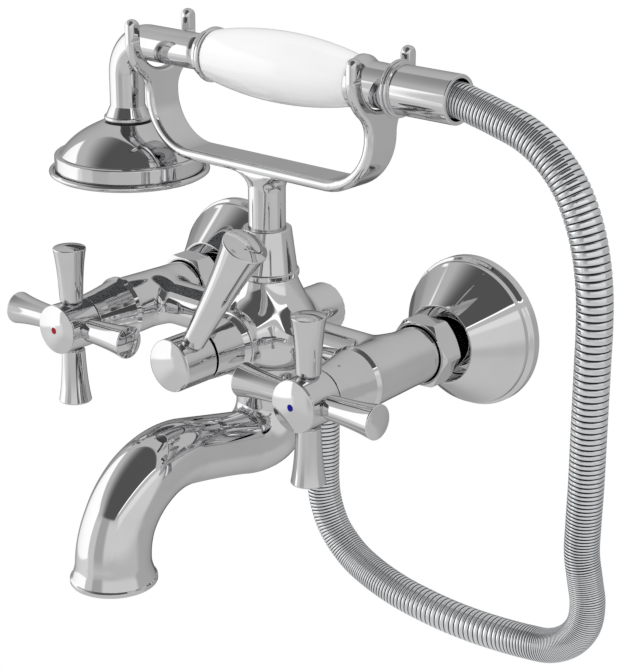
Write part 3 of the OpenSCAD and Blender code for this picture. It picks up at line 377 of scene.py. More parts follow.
def lathe(corners, centre, axis, across, sides=80, loop=False):
    """The outline spun round an axis: a point is the centre plus its distance along the axis plus
    its radius along a spoke. With loop, the outline's last point joins its first, as in a ring."""
    if loop:
        corners = list(corners) + [corners[0][:2] + (0,)]
    t, r, out_t, out_r = rounded(corners)
    if loop:
        t, r, out_t, out_r = t[:-1], r[:-1], out_t[:-1], out_r[:-1]
    axis, across = np.array(axis, float), np.array(across, float)
    turn = 2 * np.pi * np.arange(sides) / sides
    spoke = np.cos(turn)[:, None] * across + np.sin(turn)[:, None] * np.cross(axis, across)
    points = np.array(centre, float) + t[:, None, None] * axis + r[:, None, None] * spoke
    normals = out_t[:, None, None] * axis + out_r[:, None, None] * spoke
    return points, normals, grid_faces(points, normals, loop)


FROM_WALL, UP, RIGHT = (0, -1, 0), (0, 0, 1), (1, 0, 0)
VALVE_X = 75.0


def off_wall(x, corners, sides=80, loop=False):
    """A turned piece whose axis leaves the wall square at this x; distances count from the wall."""
    return lathe(corners, (x, 0, 0), FROM_WALL, RIGHT, sides, loop)

# %% [markdown]
# ## Wall flanges and union nuts
# The flange is a spun bell that hides the hole in the tiles, and the hexagon nut in front of
# it pulls the mixer on to the wall union. The bell is a lathe outline that turns back into
# a deep mouth, where the nut's round neck goes in. The nut could be a six sided cylinder
# with a bevel. Here its radius is the smaller of the hexagon's and the turned chamfer's,
# which gives the curved corner cuts that every nut shows.

# %% Flanges and nuts
# From the wall: rim, small step, cone to the mouth, then back down the inside.
FLANGE = [(0.0, 26.0, 0.0), (0.0, 36.5, 0.5), (4.4, 36.5, 1.3), (5.6, 35.0, 0.5), (6.3, 34.6, 0.9),
          (8.6, 34.5, 0.8), (10.2, 33.2, 2.0), (29.4, 18.8, 0.6), (29.0, 17.9, 0.3),
          (18.0, 17.2, 0.8), (17.8, 13.4, 0.3), (14.7, 13.4, 0.3), (14.7, 11.6, 0.3),
          (12.7, 11.6, 0.3), (12.5, 27.0, 1.5), (2.0, 32.0, 1.0)]
NUT_NECK, NUT_BACK, NUT_FRONT, NUT_FLATS = 18.4, 33.3, 46.3, 30.0


def grid_normals(points, loop=False):
    """Normals of a grid that closes around its columns: across one way times across the other."""
    around = np.roll(points, -1, 1) - np.roll(points, 1, 1)
    lengthwise = np.roll(points, -1, 0) - np.roll(points, 1, 0)
    if not loop:
        lengthwise[0], lengthwise[-1] = points[1] - points[0], points[-1] - points[-2]
    normals = np.cross(around, lengthwise)
    size = np.linalg.norm(normals, axis=2, keepdims=True)
    normals = normals / np.where(size < 1e-9, 1, size)
    return normals if (normals * (points - points.mean((0, 1)))).sum() > 0 else -normals


def nut_grid(x, neck, back, front, flats, sides=192):
    """A hexagon bar with both ends turned to a chamfer, and a round neck behind it: radius = the
    smaller of flats/2 over the cosine of the angle to the nearest flat, and a cone at each end,
    blended over half a millimetre."""
    half = flats / 2
    t = np.concatenate([np.linspace(back, back + 5, 30), np.linspace(front - 4, front, 24)])
    turn = 2 * np.pi * np.arange(sides) / sides
    off_flat = turn % (np.pi / 3) - np.pi / 6
    corner = half / np.cos(np.pi / 6) - 0.35
    hexagon = np.minimum(half / np.cos(off_flat), corner)[None, :]
    cone = np.minimum(half - 0.5 + 1.3 * (t - back), half + 0.1 + 1.7 * (front - t))[:, None]
    mix = np.clip(0.5 - (hexagon - cone) / 0.9, 0, 1)
    radius = hexagon * mix + cone * (1 - mix) - 0.25 * mix * (1 - mix)
    spoke = np.cos(turn)[:, None] * np.array(RIGHT) + np.sin(turn)[:, None] * np.array(UP)
    hexagon_rows = t[:, None, None] * np.array(FROM_WALL) + radius[:, :, None] * spoke
    d, r, _, _ = rounded([(front, half - 0.3, 0), (front, 13.9, 0.3), (front - 3, 13.9, 0.2),
                          (neck, 11.7, 0.2), (neck, 12.9, 0.4), (back, 12.9, 0.8),
                          (back, half - 0.8, 0)])
    turned_rows = d[:, None, None] * np.array(FROM_WALL) + r[:, None, None] * spoke
    points = np.array((x, 0, 0)) + np.concatenate([hexagon_rows, turned_rows])
    normals = grid_normals(points, loop=True)
    return points, normals, grid_faces(points, normals, loop=True)


for side_name, x in (("hot", -VALVE_X), ("cold", VALVE_X)):
    add_piece(side_name + "_wall_flange", [off_wall(x, FLANGE, 128, loop=True)],
              chrome, "root", [side_name + "_flange"])
    add_piece(side_name + "_hexagon_nut", [nut_grid(x, NUT_NECK, NUT_BACK, NUT_FRONT, NUT_FLATS)],
              chrome, "root", [side_name + "_union_nut"])

# %% [markdown]
# ## Bonnets
# Over each valve sits a turned sleeve that hides the cartridge. It stands on the body with a
# thin bevelled ring and tapers slowly towards the handle. The diverter's sleeve has a rounded
# bead there and a short shoulder. A cylinder with loop cuts could give them, but as lathe
# outlines the ring, the taper and the bore inside are one list.

# %% Bonnets
FACE = 89.6
valve_sleeve = [(FACE, 10.0, 0), (FACE, 15.7, 0.35), (FACE + 1.4, 15.7, 0.3), (FACE + 3.3, 14.6, 0.3),
                (FACE + 10, 13.4, 40), (FACE + 18, 12.3, 40), (114.4, 11.8, 0.3), (114.4, 10.3, 0.2),
                (FACE + 4, 10.3, 0.3)]
diverter_sleeve = [(FACE, 11.0, 0), (FACE, 15.7, 0.6), (FACE + 3.3, 15.7, 0.9), (FACE + 3.4, 14.6, 0.3),
                   (FACE + 6.3, 13.3, 1.5), (112.4, 12.4, 0.3), (112.4, 10.8, 0.2), (FACE + 4, 11.6, 0.3)]
for side_name, x in (("hot", -VALVE_X), ("cold", VALVE_X)):
    add_piece(side_name + "_valve_sleeve", [off_wall(x, valve_sleeve, 96, loop=True)],
              chrome, "root", [side_name + "_bonnet"])
add_piece("diverter_sleeve", [off_wall(0, diverter_sleeve, 96, loop=True)],
          chrome, "root", ["diverter_bonnet"])

# %% [markdown]
# ## Cross handles
# Each handle is a drum with four arms screwed into it. An arm starts in a fine groove and
# opens like a trumpet to a gently domed end. The same outline is turned four times about
# the arm's own axis, a quarter apart. A cap with the colour dot closes the front.

# %% Cross handles
ARM_AT = 122.48
HUB_BACK, HUB_FRONT, HUB_R = 115.0, 132.3, 12.0


def low_dome(start, height, radius, shares):
    """Outline of a low dome: at share w of the way in it has risen by 1 minus (1 - w) squared."""
    return [(start + height * (1 - (1 - w) ** 2), radius * (1 - w), BIG if w < 1 else 0)
            for w in shares]


def trumpet(start_r, end_r, start, end, dome):
    """Outline of an arm: the radius grows by 0.45 u + 0.55 u cubed, then a low dome closes it."""
    flare = [(start + (end - start) * u, start_r + (end_r - start_r) * (0.45 * u + 0.55 * u ** 3), BIG)
             for u in np.linspace(0, 1, 14)]
    flare[0], flare[-1] = flare[0][:2] + (0.5,), flare[-1][:2] + (0.7,)
    return flare + low_dome(end, dome, end_r - 0.25, np.linspace(0.12, 1, 7))


def handle_arms(x):
    """Four arms round the valve's axis, each turned about its own spoke."""
    outline = [(8.0, 0.0, 0), (8.0, 3.5, 0.2), (11.7, 3.5, 0.1), (11.8, 4.7, 0.3)]
    outline += trumpet(5.6, 8.0, 12.7, 38.7, 1.4)
    return [lathe(outline, (x, -ARM_AT, 0), spoke, FROM_WALL, 56)
            for spoke in ((1, 0, 0), (0, 0, 1), (-1, 0, 0), (0, 0, -1))]


hub = [(HUB_BACK, 0.0, 0), (HUB_BACK, HUB_R, 0.5), (HUB_FRONT, HUB_R, 0.35), (HUB_FRONT, 0.0, 0)]
cap = [(132.4, 0.0, 0), (132.4, 11.9, 0.25), (133.0, 11.85, 0.5)]
cap += low_dome(133.0, 1.6, 11.7, np.linspace(0.06, 0.82, 8))
cap += [(134.59, 1.62, 0.1), (133.9, 1.55, 0.1), (133.8, 0, 0)]
for side_name, x in (("hot", -VALVE_X), ("cold", VALVE_X)):
    body = side_name + "_handle"
    add_piece(side_name + "_handle_drum", [off_wall(x, hub, 96)], chrome, body, [side_name + "_hub"])
    add_piece(side_name + "_handle_arms", handle_arms(x), chrome, body, [side_name + "_arms"])
    add_piece(side_name + "_handle_cap", [off_wall(x, cap, 96)], chrome, body, [side_name + "_cap"])

# %% [markdown]
# ## Diverter lever
# One slim lever sends the water to the spout or to the hand shower. Its drum carries a
# long trumpet, so the same outline serves, only longer and leaning off the vertical.

# %% Diverter lever
lean = np.radians(32)
lever_way = (np.sin(lean), 0, np.cos(lean))
drum = [(113.9, 0.0, 0), (113.9, 12.4, 0.3), (132.2, 12.4, 0.8)]
drum += low_dome(132.6, 1.5, 11.9, np.linspace(0.05, 1, 9))
add_piece("diverter_drum", [off_wall(0, drum, 96)], chrome, "diverter_handle", ["diverter_knob"])
lever = [(8.0, 0.0, 0), (8.0, 4.0, 0.2), (12.2, 4.0, 0.1), (12.3, 4.6, 0.3)]
lever += trumpet(5.3, 10.7, 13.3, 74.0, 2.4)
add_piece("diverter_lever_arm", [lathe(lever, (0, -123.1, 0), lever_way, FROM_WALL, 72)],
          chrome, "diverter_handle", ["diverter_lever"])

# %% [markdown]
# ## Spout
# The spout is a cast tube that drops from the body, turns forward and curls over to its
# mouth, and a rolled lip ends it. A bevelled curve could follow the route, but its radius
# changes on the way, so circles of their own radius are set square to the route one after
# the other, and the lip's outline is a last run of circles. At the elbow the casting is
# fuller than a tube, so there the circles swell on the outside of the bend.

# %% Spout
SPOUT_TOP, ELBOW_Z, ELBOW_R = -23, -34.5, 17.5
CURL_OUT, CURL_Z, CURL_R = 65.5, -83.9, 40
MOUTH_R = 17.5


def spout_route():
    """Centres as (distance in front of the body's axis, height): a drop, an elbow arc, a rising
    run, and the outer arc that ends straight down."""
    rise = np.radians(10.6)
    drop = np.stack([np.zeros(8), np.linspace(SPOUT_TOP, ELBOW_Z, 8, endpoint=False)], 1)
    a = np.linspace(np.pi, np.pi * 1.5 + rise, 28)
    elbow = np.stack([ELBOW_R + ELBOW_R * np.cos(a), ELBOW_Z + ELBOW_R * np.sin(a)], 1)
    a = np.linspace(np.pi / 2 + rise, 0, 40)
    curl = np.stack([CURL_OUT + CURL_R * np.cos(a), CURL_Z + CURL_R * np.sin(a)], 1)
    run = elbow[-1] + (curl[0] - elbow[-1]) * np.linspace(0, 1, 10)[1:-1, None]
    return np.concatenate([drop, elbow, run, curl])


def spout_grid(sides=96):
    """Circles square to the route, then the lip's circles below its end. On the outside of the
    elbow the radius grows by a swell times how far the spoke points outwards, to the power 1.5."""
    route = spout_route()
    row = np.arange(len(route))
    radius = np.interp(row, [0, 8, 34, 46, 60, 72, 83], [16.5, 15.5, 14.5, 15.7, 16.4, 16.5, MOUTH_R])
    low, lip_r, _, _ = rounded([
        (0, MOUTH_R, 0), (2.2, 18.0, 9), (4.8, 18.8, 4), (6.0, 19.2, 0.6), (6.6, 20.0, 0.35),
        (8.6, 20.0, 0.6), (8.6, 14.0, 0.6), (1.5, 14.0, 0.6), (1.5, 0.0, 0)], 8)
    low, lip_r = low[1:], lip_r[1:]
    heading = np.gradient(route, axis=0)
    heading[-1] = (0, -1)
    heading = heading / np.linalg.norm(heading, axis=1, keepdims=True)
    route = np.concatenate([route, np.stack([np.full(len(low), CURL_OUT + CURL_R), CURL_Z - low], 1)])
    heading = np.concatenate([heading, np.tile((0.0, -1.0), (len(low), 1))])
    radius = np.concatenate([radius, lip_r])
    turn = 2 * np.pi * np.arange(sides) / sides
    side = np.stack([0 * radius, heading[:, 1], heading[:, 0]], 1)[:, None]
    spoke = np.cos(turn)[:, None] * side + np.sin(turn)[:, None] * np.array([1.0, 0, 0])
    middle = np.stack([0 * radius, -COLUMN - route[:, 0], route[:, 1]], 1)[:, None]
    full = np.interp(np.arange(len(radius)), [0, 5, 10, 16, 22, 28, 38], [0, 2.6, 5.8, 8.2, 8.0, 3.8, 0])
    full = np.convolve(np.pad(full, 4, mode="edge"), np.ones(9) / 9, mode="valid")
    swell = full[:, None] * (np.maximum(0.35 - np.cos(turn), 0) / 1.35)[None, :] ** 1.5
    points = middle + (radius[:, None] + swell)[:, :, None] * spoke
    normals = grid_normals(points)
    normals[-1] = (0, 0, -1)
    return points, normals, grid_faces(points, normals)


add_piece("bath_spout", [spout_grid()], chrome, "root", ["spout"])

# %% [markdown]
# ## Castings
# A casting has no sharp inner corners: its forms run into each other. Cut and joined solids
# could give it, with bevels on the seams. Here it is written as a field, the distance to its
# surface, and a net of small faces is laid on the zero level. The same net serves for the
# body and for the cradle.

# %% Net over a field
def field_slope(field, p, h=0.02):
    """Slope of a field by small steps to both sides along each axis."""
    step = np.eye(3) * h
    return np.stack([field(p + step[i]) - field(p - step[i]) for i in range(3)], -1) / (2 * h)


def field_net(field, low, high, cell):
    """Surface net: every grid cell that the surface passes through gets one point, moved on to the
    zero level along the slope, and every grid edge that the surface crosses gets one face."""
    axes = [np.arange(a, b + cell, cell) for a, b in zip(low, high)]
    inside = field(np.stack(np.meshgrid(*axes, indexing="ij"), -1)) < 0
    size = [len(a) - 1 for a in axes]
    corners = np.stack([inside[i:size[0] + i, j:size[1] + j, k:size[2] + k]
                        for i, j, k in product((0, 1), repeat=3)])
    mixed = corners.any(0) & ~corners.all(0)
    number = np.full(size, -1)
    number[mixed] = np.arange(mixed.sum())
    start = np.stack([a[i] + cell / 2 for a, i in zip(axes, np.nonzero(mixed))], -1)
    points = start.copy()
    for _ in range(5):
        slope = field_slope(field, points)
        step = field(points)[:, None] * slope / np.maximum((slope ** 2).sum(1, keepdims=True), 0.05)
        points = np.clip(points - np.clip(step, -cell, cell), start - 0.8 * cell, start + 0.8 * cell)
    faces = []
    for axis in range(3):
        one, two = [d for d in range(3) if d != axis]
        first = np.moveaxis(inside, axis, 0)
        crossed = np.argwhere(np.moveaxis(first[:-1] != first[1:], 0, axis))
        ring = []
        for u, v in ((0, 0), (-1, 0), (-1, -1), (0, -1)):
            cell_at = crossed.copy()
            cell_at[:, one] += u
            cell_at[:, two] += v
            ring.append(number[tuple(cell_at.T)])
        faces.append(np.stack(ring, 1))
    faces = np.concatenate(faces)
    slope = field_slope(field, points)
    out = slope / np.maximum(np.linalg.norm(slope, axis=1, keepdims=True), 1e-6)
    a, b, c, d = (points[faces[:, i]] for i in range(4))
    across = np.cross(c - a, d - b)
    wrong = (across * out[faces].mean(1)).sum(1) < 0
    faces[wrong] = faces[wrong][:, ::-1]
    return points, out, faces

# %% [markdown]
# ## Body casting
# The body is one casting: a ball in the middle, an arm to each valve, and bosses where the
# other pieces join. In the field each of these is a ball or a round bar, and the fillet
# between two of them is a number. The neck has the widest one, so that it flares into the
# ball, and the dark ceiling shows there as two patches with a bright cross between them.

# %% Body casting
BALL_R = 22.5
MIDDLE = (0, -COLUMN, 0)


def blend_in(a, b, fillet):
    """Union of two fields with a fillet: the smaller, less a bump where they are nearly equal."""
    near = np.maximum(fillet - np.abs(a - b), 0) / fillet
    return np.minimum(a, b) - near ** 2 * fillet / 4


def meet(a, b, edge):
    """What two fields share, with the edge between them rounded."""
    a, b = a + edge, b + edge
    return np.minimum(np.maximum(a, b), 0) + np.hypot(np.maximum(a, 0), np.maximum(b, 0)) - edge


def bar_field(p, centre, axis, start, end, start_r, end_r, edge=0.6):
    """A round bar: the greater of the distance past its radius and past its ends, edge rounded."""
    off = p - np.array(centre, float)
    t = off @ np.array(axis, float)
    r = np.linalg.norm(off - t[..., None] * np.array(axis, float), axis=-1)
    grow = np.clip((t - start) / (end - start), 0, 1)
    past_end = np.abs(t - (start + end) / 2) - (end - start) / 2
    return meet(r - (start_r + (end_r - start_r) * grow), past_end, edge)


def casting_field(p):
    """The ball, cut flat in front and below, with the arms, tees and bosses run into it."""
    ball = np.linalg.norm(p - np.array(MIDDLE), axis=-1) - BALL_R
    ball = meet(meet(ball, -p[..., 1] - FACE, 0.8), SPOUT_TOP - p[..., 2], 1.0)
    body = blend_in(ball, bar_field(p, MIDDLE, RIGHT, -VALVE_X, VALVE_X, 11, 11), 10)
    for x in (-VALVE_X, VALVE_X):
        tee = np.minimum(bar_field(p, (x, 0, 0), FROM_WALL, 33.5, 60, 13.1, 13.5, 0.5),
                         bar_field(p, (x, 0, 0), FROM_WALL, NUT_FRONT, FACE, 13.1, 14.5, 0.5))
        body = blend_in(body, tee, 5)
    body = blend_in(body, bar_field(p, MIDDLE, UP, 0, 27.5, 12.6, 12.6), 16.5)
    body = np.minimum(body, bar_field(p, MIDDLE, UP, 0, 37.5, 10.9, 10.9))
    body = blend_in(body, bar_field(p, (0, 0, 0), FROM_WALL, 22.5, COLUMN, 12.5, 12.5), 6)
    body = blend_in(body, bar_field(p, (0, 0, 0), FROM_WALL, COLUMN, FACE, 14.5, 14.5), 6)
    body = blend_in(body, bar_field(p, MIDDLE, UP, SPOUT_TOP, 0, 16.4, 14), 2.5)
    return blend_in(body, bar_field(p, (35, -COLUMN, 0), UP, -15, 0, 11, 11), 4)


add_piece("mixer_body", [field_net(casting_field, (-93, -93, -27), (93, -20, 40), 0.9)],
          chrome, "root", ["body_casting"])

# %% [markdown]
# ## Cradle
# The cradle is a forged strap that bends up at both ends into forks for the hand shower.
# It is wide and thin, rounded along every edge, with a stem that flares under its middle.
# Two outlines make it: the strap's thickness along its bent line, and its width seen from
# the end. What both hold is the strap, and the same net is laid over that field.

# %% Cradle and collar
STRAP_Z, STRAP_HALF, FORK_HALF = 80.05, 2.65, 9.5
TURN_X, TURN_Z, TURN_R = 42, 105.4, 25.35
SEAT_Z, FLANK_Y, FLANK_Z = 132.8, 21.5, 106.07
FLARE_RHO, FLARE_Z, STRAP_IN = 16.8, 69.4, 79


def cradle_field(p):
    """Shared part of the bent strap's thickness and of the fork's outline, with stem and flare."""
    x, y, z = np.abs(p[..., 0]), np.abs(p[..., 1] + COLUMN), p[..., 2]
    bar, bend = np.abs(z - STRAP_Z), np.abs(np.hypot(x - TURN_X, z - TURN_Z) - TURN_R)
    upright = np.abs(x - (TURN_X + TURN_R))
    thick = np.where(x < TURN_X, bar, np.where(z < TURN_Z, bend, upright)) - STRAP_HALF
    strap = np.maximum(y - FORK_HALF, np.where(x < TURN_X, -99, z - SEAT_Z))
    ring = np.maximum(np.hypot(y, z - SEAT_Z) - 22.3, z - 133.3)
    wedge = ((y - FLANK_Y) * (SEAT_Z - FLANK_Z) + (z - FLANK_Z) * FLANK_Y) / 34.3
    wedge = np.maximum(FLANK_Z - z, wedge)
    flank = np.maximum(12 - np.hypot(y - FLANK_Y, z - FLANK_Z), wedge)
    prong = np.maximum(np.hypot(y - 18.8, np.maximum(z - 139.3, 0)) - 3.5, 132.3 - z)
    fork = np.minimum(np.minimum(strap, ring), np.minimum(flank, prong))
    fork = np.where(z < TURN_Z, y - FORK_HALF, fork)
    slot = np.hypot(y, np.minimum(z - SEAT_Z, 0)) - 15.3
    outline = np.where(x < TURN_X, y - FORK_HALF, np.maximum(fork, -slot))
    strap = meet(thick, outline, 2.2)
    rho = np.hypot(x, y)
    stem = np.maximum(rho - 8.8, np.maximum(z - STRAP_IN, 45 - z))
    flare = np.maximum(rho - FLARE_RHO, np.maximum(FLARE_Z - z, z - STRAP_IN))
    flare = np.maximum(8 - np.hypot(rho - FLARE_RHO, z - FLARE_Z), flare)
    flare = meet(flare, y - FORK_HALF, 2.0)
    return blend_in(strap, np.minimum(stem, flare), 0.8)


add_piece("handset_cradle", [field_net(cradle_field, (-72, -90, 44), (72, -41, 145), 0.7)],
          chrome, "root", ["cradle"])
collar = [(27.5, 9.0, 0), (27.5, 15.1, 0.9), (30.5, 15.1, 0.9), (30.6, 14.2, 0.3), (51.0, 11.5, 0.7),
          (51.0, 8.9, 0.3)]
add_piece("stem_collar", [lathe(collar, MIDDLE, UP, RIGHT, 96, loop=True)],
          chrome, "root", ["cradle_collar"])

# %% [markdown]
# ## Hand shower head
# The head is a spun dome over a flat spray face, edged with a round ring. Its profile is a
# bowed line for the dome and small roundings for the steps. The bent tube that carries it
# is circles along a quarter turn, wider at the foot where it meets the dome.

# %% Head and tube
HEAD = (-91.5, -COLUMN, 60.7)
HANDLE_Z, TUBE_R, TUBE_TURN = 128.0, 8.6, 17
ring = [(0.0, 36.2, 0.2), (0.0, 37.4, 0.8), (1.3, 39.6, 1.2), (2.6, 39.9, 1.0), (3.5, 38.6, 0.6),
        (3.2, 37.7, 0.3), (2.2, 37.6, 0.2), (2.2, 36.2, 0.2)]
add_piece("spray_rim", [lathe(ring, HEAD, UP, RIGHT, 128, loop=True)],
          chrome, "handset", ["face_ring"])
u = np.linspace(0, 1, 12)
rise, narrowing = 15.8, 21.6
bow = 4.83 * u * (1 - u) ** 1.3 * 1.9
chord = np.stack([10.9 + rise * u, 34.1 - narrowing * u], 1)
chord += bow[:, None] * np.array([narrowing, rise]) / np.hypot(narrowing, rise)
dome = [(h, r, BIG) for h, r in chord.tolist()]
dome[0], dome[-1] = dome[0][:2] + (0.3,), dome[-1][:2] + (0.5,)
shell = [(2.3, 0.0, 0), (2.3, 36.9, 0.3), (10.4, 36.9, 0.9), (10.9, 35.6, 0.5)] + dome + [(26.7, 0.0, 0)]
add_piece("head_dome", [lathe(shell, HEAD, UP, RIGHT, 128)], chrome, "handset", ["head_shell"])


def bent_tube(sides=72):
    """Circles along a line up from the head, a quarter turn, and a line to the ferrule."""
    low, foot, _, _ = rounded([(27.5, 0.0, 0), (27.5, 11.7, 0.9), (29.4, 11.7, 0.9), (29.6, 10.9, 0.2),
                               (34.6, TUBE_R, 0.8), (50.3, TUBE_R, 0)], 7)
    turn_x, turn_z, end_x, straight = HEAD[0] + TUBE_TURN, HANDLE_Z - TUBE_TURN, -37.6, 7
    a = np.linspace(np.pi, np.pi / 2, 24)[1:]
    x = np.concatenate([np.full(len(low), HEAD[0]), turn_x + TUBE_TURN * np.cos(a),
                        np.linspace(turn_x, end_x, straight + 1)[1:]])
    z = np.concatenate([HEAD[2] + low, turn_z + TUBE_TURN * np.sin(a), np.full(straight, HANDLE_Z)])
    radius = np.concatenate([foot, np.full(len(a) + straight, TUBE_R)])
    heading_x = np.concatenate([np.zeros(len(low)), np.sin(a), np.ones(straight)])
    heading_z = np.concatenate([np.ones(len(low)), -np.cos(a), np.zeros(straight)])
    turn = 2 * np.pi * np.arange(sides) / sides
    side = np.stack([-heading_z, 0 * x, heading_x], 1)[:, None]
    spoke = np.cos(turn)[:, None] * side + np.sin(turn)[:, None] * np.array([0, 1.0, 0])
    points = np.stack([x, 0 * x - COLUMN, z], 1)[:, None] + radius[:, None, None] * spoke
    points = np.concatenate([points, np.tile((end_x, -COLUMN, HANDLE_Z), (1, sides, 1))])
    normals = grid_normals(points)
    normals[0], normals[-1] = (0, 0, -1), (1, 0, 0)
    return points, normals, grid_faces(points, normals)


add_piece("handset_tube", [bent_tube()], chrome, "handset", ["elbow_tube"])

# %% [markdown]
# ## Glazed ceramic
# The grip is white ceramic under a clear glaze: the body colour hardly varies, the glaze
# pools a little, and its skin is faintly uneven. A white colour alone would look like
# paper, so the gloss lies in a coat of its own over the white.

# %% Grip finish
def glazed_ceramic_finish():
    """Glazed white ceramic: slow noise in tint and gloss, a shallow orange peel, and a clear coat."""
    finish, tree, out = new_finish("glazed_white_ceramic")
    place = add_node(tree, "ShaderNodeTexCoord")
    pool = add_node(tree, "ShaderNodeTexNoise", {"Scale": per_metre(30), "Detail": 2.0},
                    {"Vector": place.outputs["Object"]})
    peel = add_node(tree, "ShaderNodeTexNoise", {"Scale": per_metre(5), "Detail": 1.0},
                    {"Vector": place.outputs["Object"]})
    tint = add_node(tree, "ShaderNodeValToRGB", None, {"Fac": pool.outputs["Fac"]})
    thin, thick = tint.color_ramp.elements
    thin.position, thick.position = 0.3, 0.7
    thin.color, thick.color = linear("#F3F3F3"), linear("#F7F7F7")
    rough = add_node(tree, "ShaderNodeMapRange", {"To Min": 0.10, "To Max": 0.18},
                     {"Value": pool.outputs["Fac"]})
    bump = add_node(tree, "ShaderNodeBump", {"Strength": 0.04, "Distance": 0.0002},
                    {"Height": peel.outputs["Fac"]})
    shader = add_node(tree, "ShaderNodeBsdfPrincipled",
                      {"IOR": 1.52, "Coat Weight": 0.5, "Coat Roughness": 0.04},
                      {"Base Color": tint.outputs["Color"], "Roughness": rough.outputs["Result"],
                       "Normal": bump.outputs["Normal"]})
    tree.links.new(shader.outputs["BSDF"], out.inputs["Surface"])
    return finish


ceramic = glazed_ceramic_finish()
print("made", ceramic.name)

# %% [markdown]
# ## Grip, ferrules and sleeve
# The ceramic barrel sits between two chromed ferrules, and a sleeve holds the hose. All are
# turned on the hand shower's axis. The barrel is one arc of a large circle; a subdivided
# cylinder could be fattened by hand, but the arc's two radii were measured on the picture.

# %% Grip, ferrules and sleeve
HANDLE = (0, -COLUMN, HANDLE_Z)
GRIP_START, GRIP_END, GRIP_R, GRIP_MIDDLE, GRIP_ARC = -31.0, 54.5, 16.3, 10.0, 192.8


def on_handle(corners, sides=88):
    """A turned piece on the hand shower's axis; distances count along x from the middle."""
    return lathe(corners, HANDLE, RIGHT, UP, sides)


reach = np.linspace(GRIP_START, GRIP_END, 25)
swell = GRIP_R - GRIP_ARC + np.sqrt(GRIP_ARC ** 2 - (reach - GRIP_MIDDLE) ** 2)
barrel = [(t, r, BIG) for t, r in zip(reach.tolist(), swell.tolist())]
barrel[0], barrel[-1] = barrel[0][:2] + (0.8,), barrel[-1][:2] + (0.8,)
barrel = [(GRIP_START, 0.0, 0)] + barrel + [(GRIP_END, 0.0, 0)]
add_piece("ceramic_grip", [on_handle(barrel, 112)], ceramic, "handset", ["grip"])
ferrule = [(-38, 0.0, 0), (-38, 9.2, 0.3), (-37.4, 11.0, 1.0), (-34.9, 11.2, 0.9), (-34.5, 10.0, 0.2),
           (-33.8, 10.0, 0.2), (-33.4, 13.0, 0.7), (-31.6, 13.0, 0.6), (-31.4, 11.2, 0.15),
           (-31.05, 11.2, 0.1), (-31.05, 0.0, 0)]
add_piece("front_collar", [on_handle(ferrule)], chrome, "handset", ["front_ferrule"])
rear = [(54.55, 0.0, 0), (54.55, 10.7, 0.1), (55.1, 10.7, 0.15), (55.4, 12.4, 0.6), (57.8, 12.4, 1.2),
        (62.0, 10.2, 5), (76.1, 9.9, 0.1), (76.1, 0.0, 0)]
add_piece("rear_collar", [on_handle(rear)], chrome, "handset", ["tail"])
sleeve = [(76.2, 0.0, 0), (76.2, 12.9, 0.7), (77.7, 12.9, 0.5), (77.9, 11.8, 0.15), (78.4, 11.8, 0.15),
          (78.6, 12.5, 0.4), (79.6, 12.5, 0.5), (79.8, 11.0, 0.3), (109.9, 11.0, 0.7), (109.9, 9.2, 0.4),
          (94.0, 9.2, 0.3), (94.0, 0.0, 0)]
add_piece("hose_holder", [on_handle(sleeve)], chrome, "handset", ["hose_sleeve"])

# %% [markdown]
# ## Finishes of the pieces that keep their CAD shape
# Small and hidden pieces keep the CAD model's own shape, and only their finish changes:
# brass for the valves, rubber for the seals, alumina for the discs, steel for the screws,
# pale plastic for the aerator, and dull enamel for the two dots. The spray face is grey
# plastic made darker as painted shade, for the shadow under the head; it is seen only as a
# dark patch mirrored in the hot arm. Each could have a node tree of its own, but one recipe
# with a row of values suits them all.

# %% Small finishes
def plain_finish(name, light, shade, grain_mm, metallic, gloss, bump_mm, shine=0.5):
    """A finish whose colour and gloss drift with noise of the given size over a small bump."""
    finish, tree, out = new_finish(name)
    place = add_node(tree, "ShaderNodeTexCoord")
    grain = add_node(tree, "ShaderNodeTexNoise", {"Scale": per_metre(grain_mm), "Detail": 4.0},
                     {"Vector": place.outputs["Object"]})
    tint = add_node(tree, "ShaderNodeValToRGB", None, {"Fac": grain.outputs["Fac"]})
    dark, pale = tint.color_ramp.elements
    dark.position, pale.position = 0.3, 0.7
    dark.color, pale.color = linear(shade), linear(light)
    rough = add_node(tree, "ShaderNodeMapRange", {"To Min": gloss[0], "To Max": gloss[1]},
                     {"Value": grain.outputs["Fac"]})
    bump = add_node(tree, "ShaderNodeBump", {"Strength": 0.2, "Distance": bump_mm * MM},
                    {"Height": grain.outputs["Fac"]})
    shader = add_node(tree, "ShaderNodeBsdfPrincipled",
                      {"Metallic": metallic, "Specular IOR Level": shine},
                      {"Base Color": tint.outputs["Color"], "Roughness": rough.outputs["Result"],
                       "Normal": bump.outputs["Normal"]})
    tree.links.new(shader.outputs["BSDF"], out.inputs["Surface"])
    return finish


finish_rows = {
    "brass": ("machined_brass", "#C9A45C", "#B48E48", 3, 1.0, (0.22, 0.36), 0.02),
    "rubber": ("moulded_nitrile_rubber", "#2A2A2B", "#1B1B1C", 1.5, 0.0, (0.55, 0.75), 0.03),
    "ceramic": ("lapped_alumina", "#F0EFEA", "#E6E4DD", 2, 0.0, (0.18, 0.3), 0.01),
    "steel": ("turned_stainless_steel", "#BFC1C3", "#A9ABAD", 1.5, 1.0, (0.25, 0.4), 0.02),
    "plastic": ("moulded_acetal", "#DADCDE", "#CFD1D4", 2.5, 0.0, (0.35, 0.5), 0.02),
    "red": ("red_enamel", "#A41C26", "#941822", 0.8, 0.0, (0.4, 0.5), 0.01, 0.1),
    "blue": ("blue_enamel", "#0C0E98", "#080A86", 0.8, 0.0, (0.4, 0.5), 0.01, 0.1)}
slot_finish = {slot: plain_finish(*row) for slot, row in finish_rows.items()}
slot_finish["chrome"] = chrome
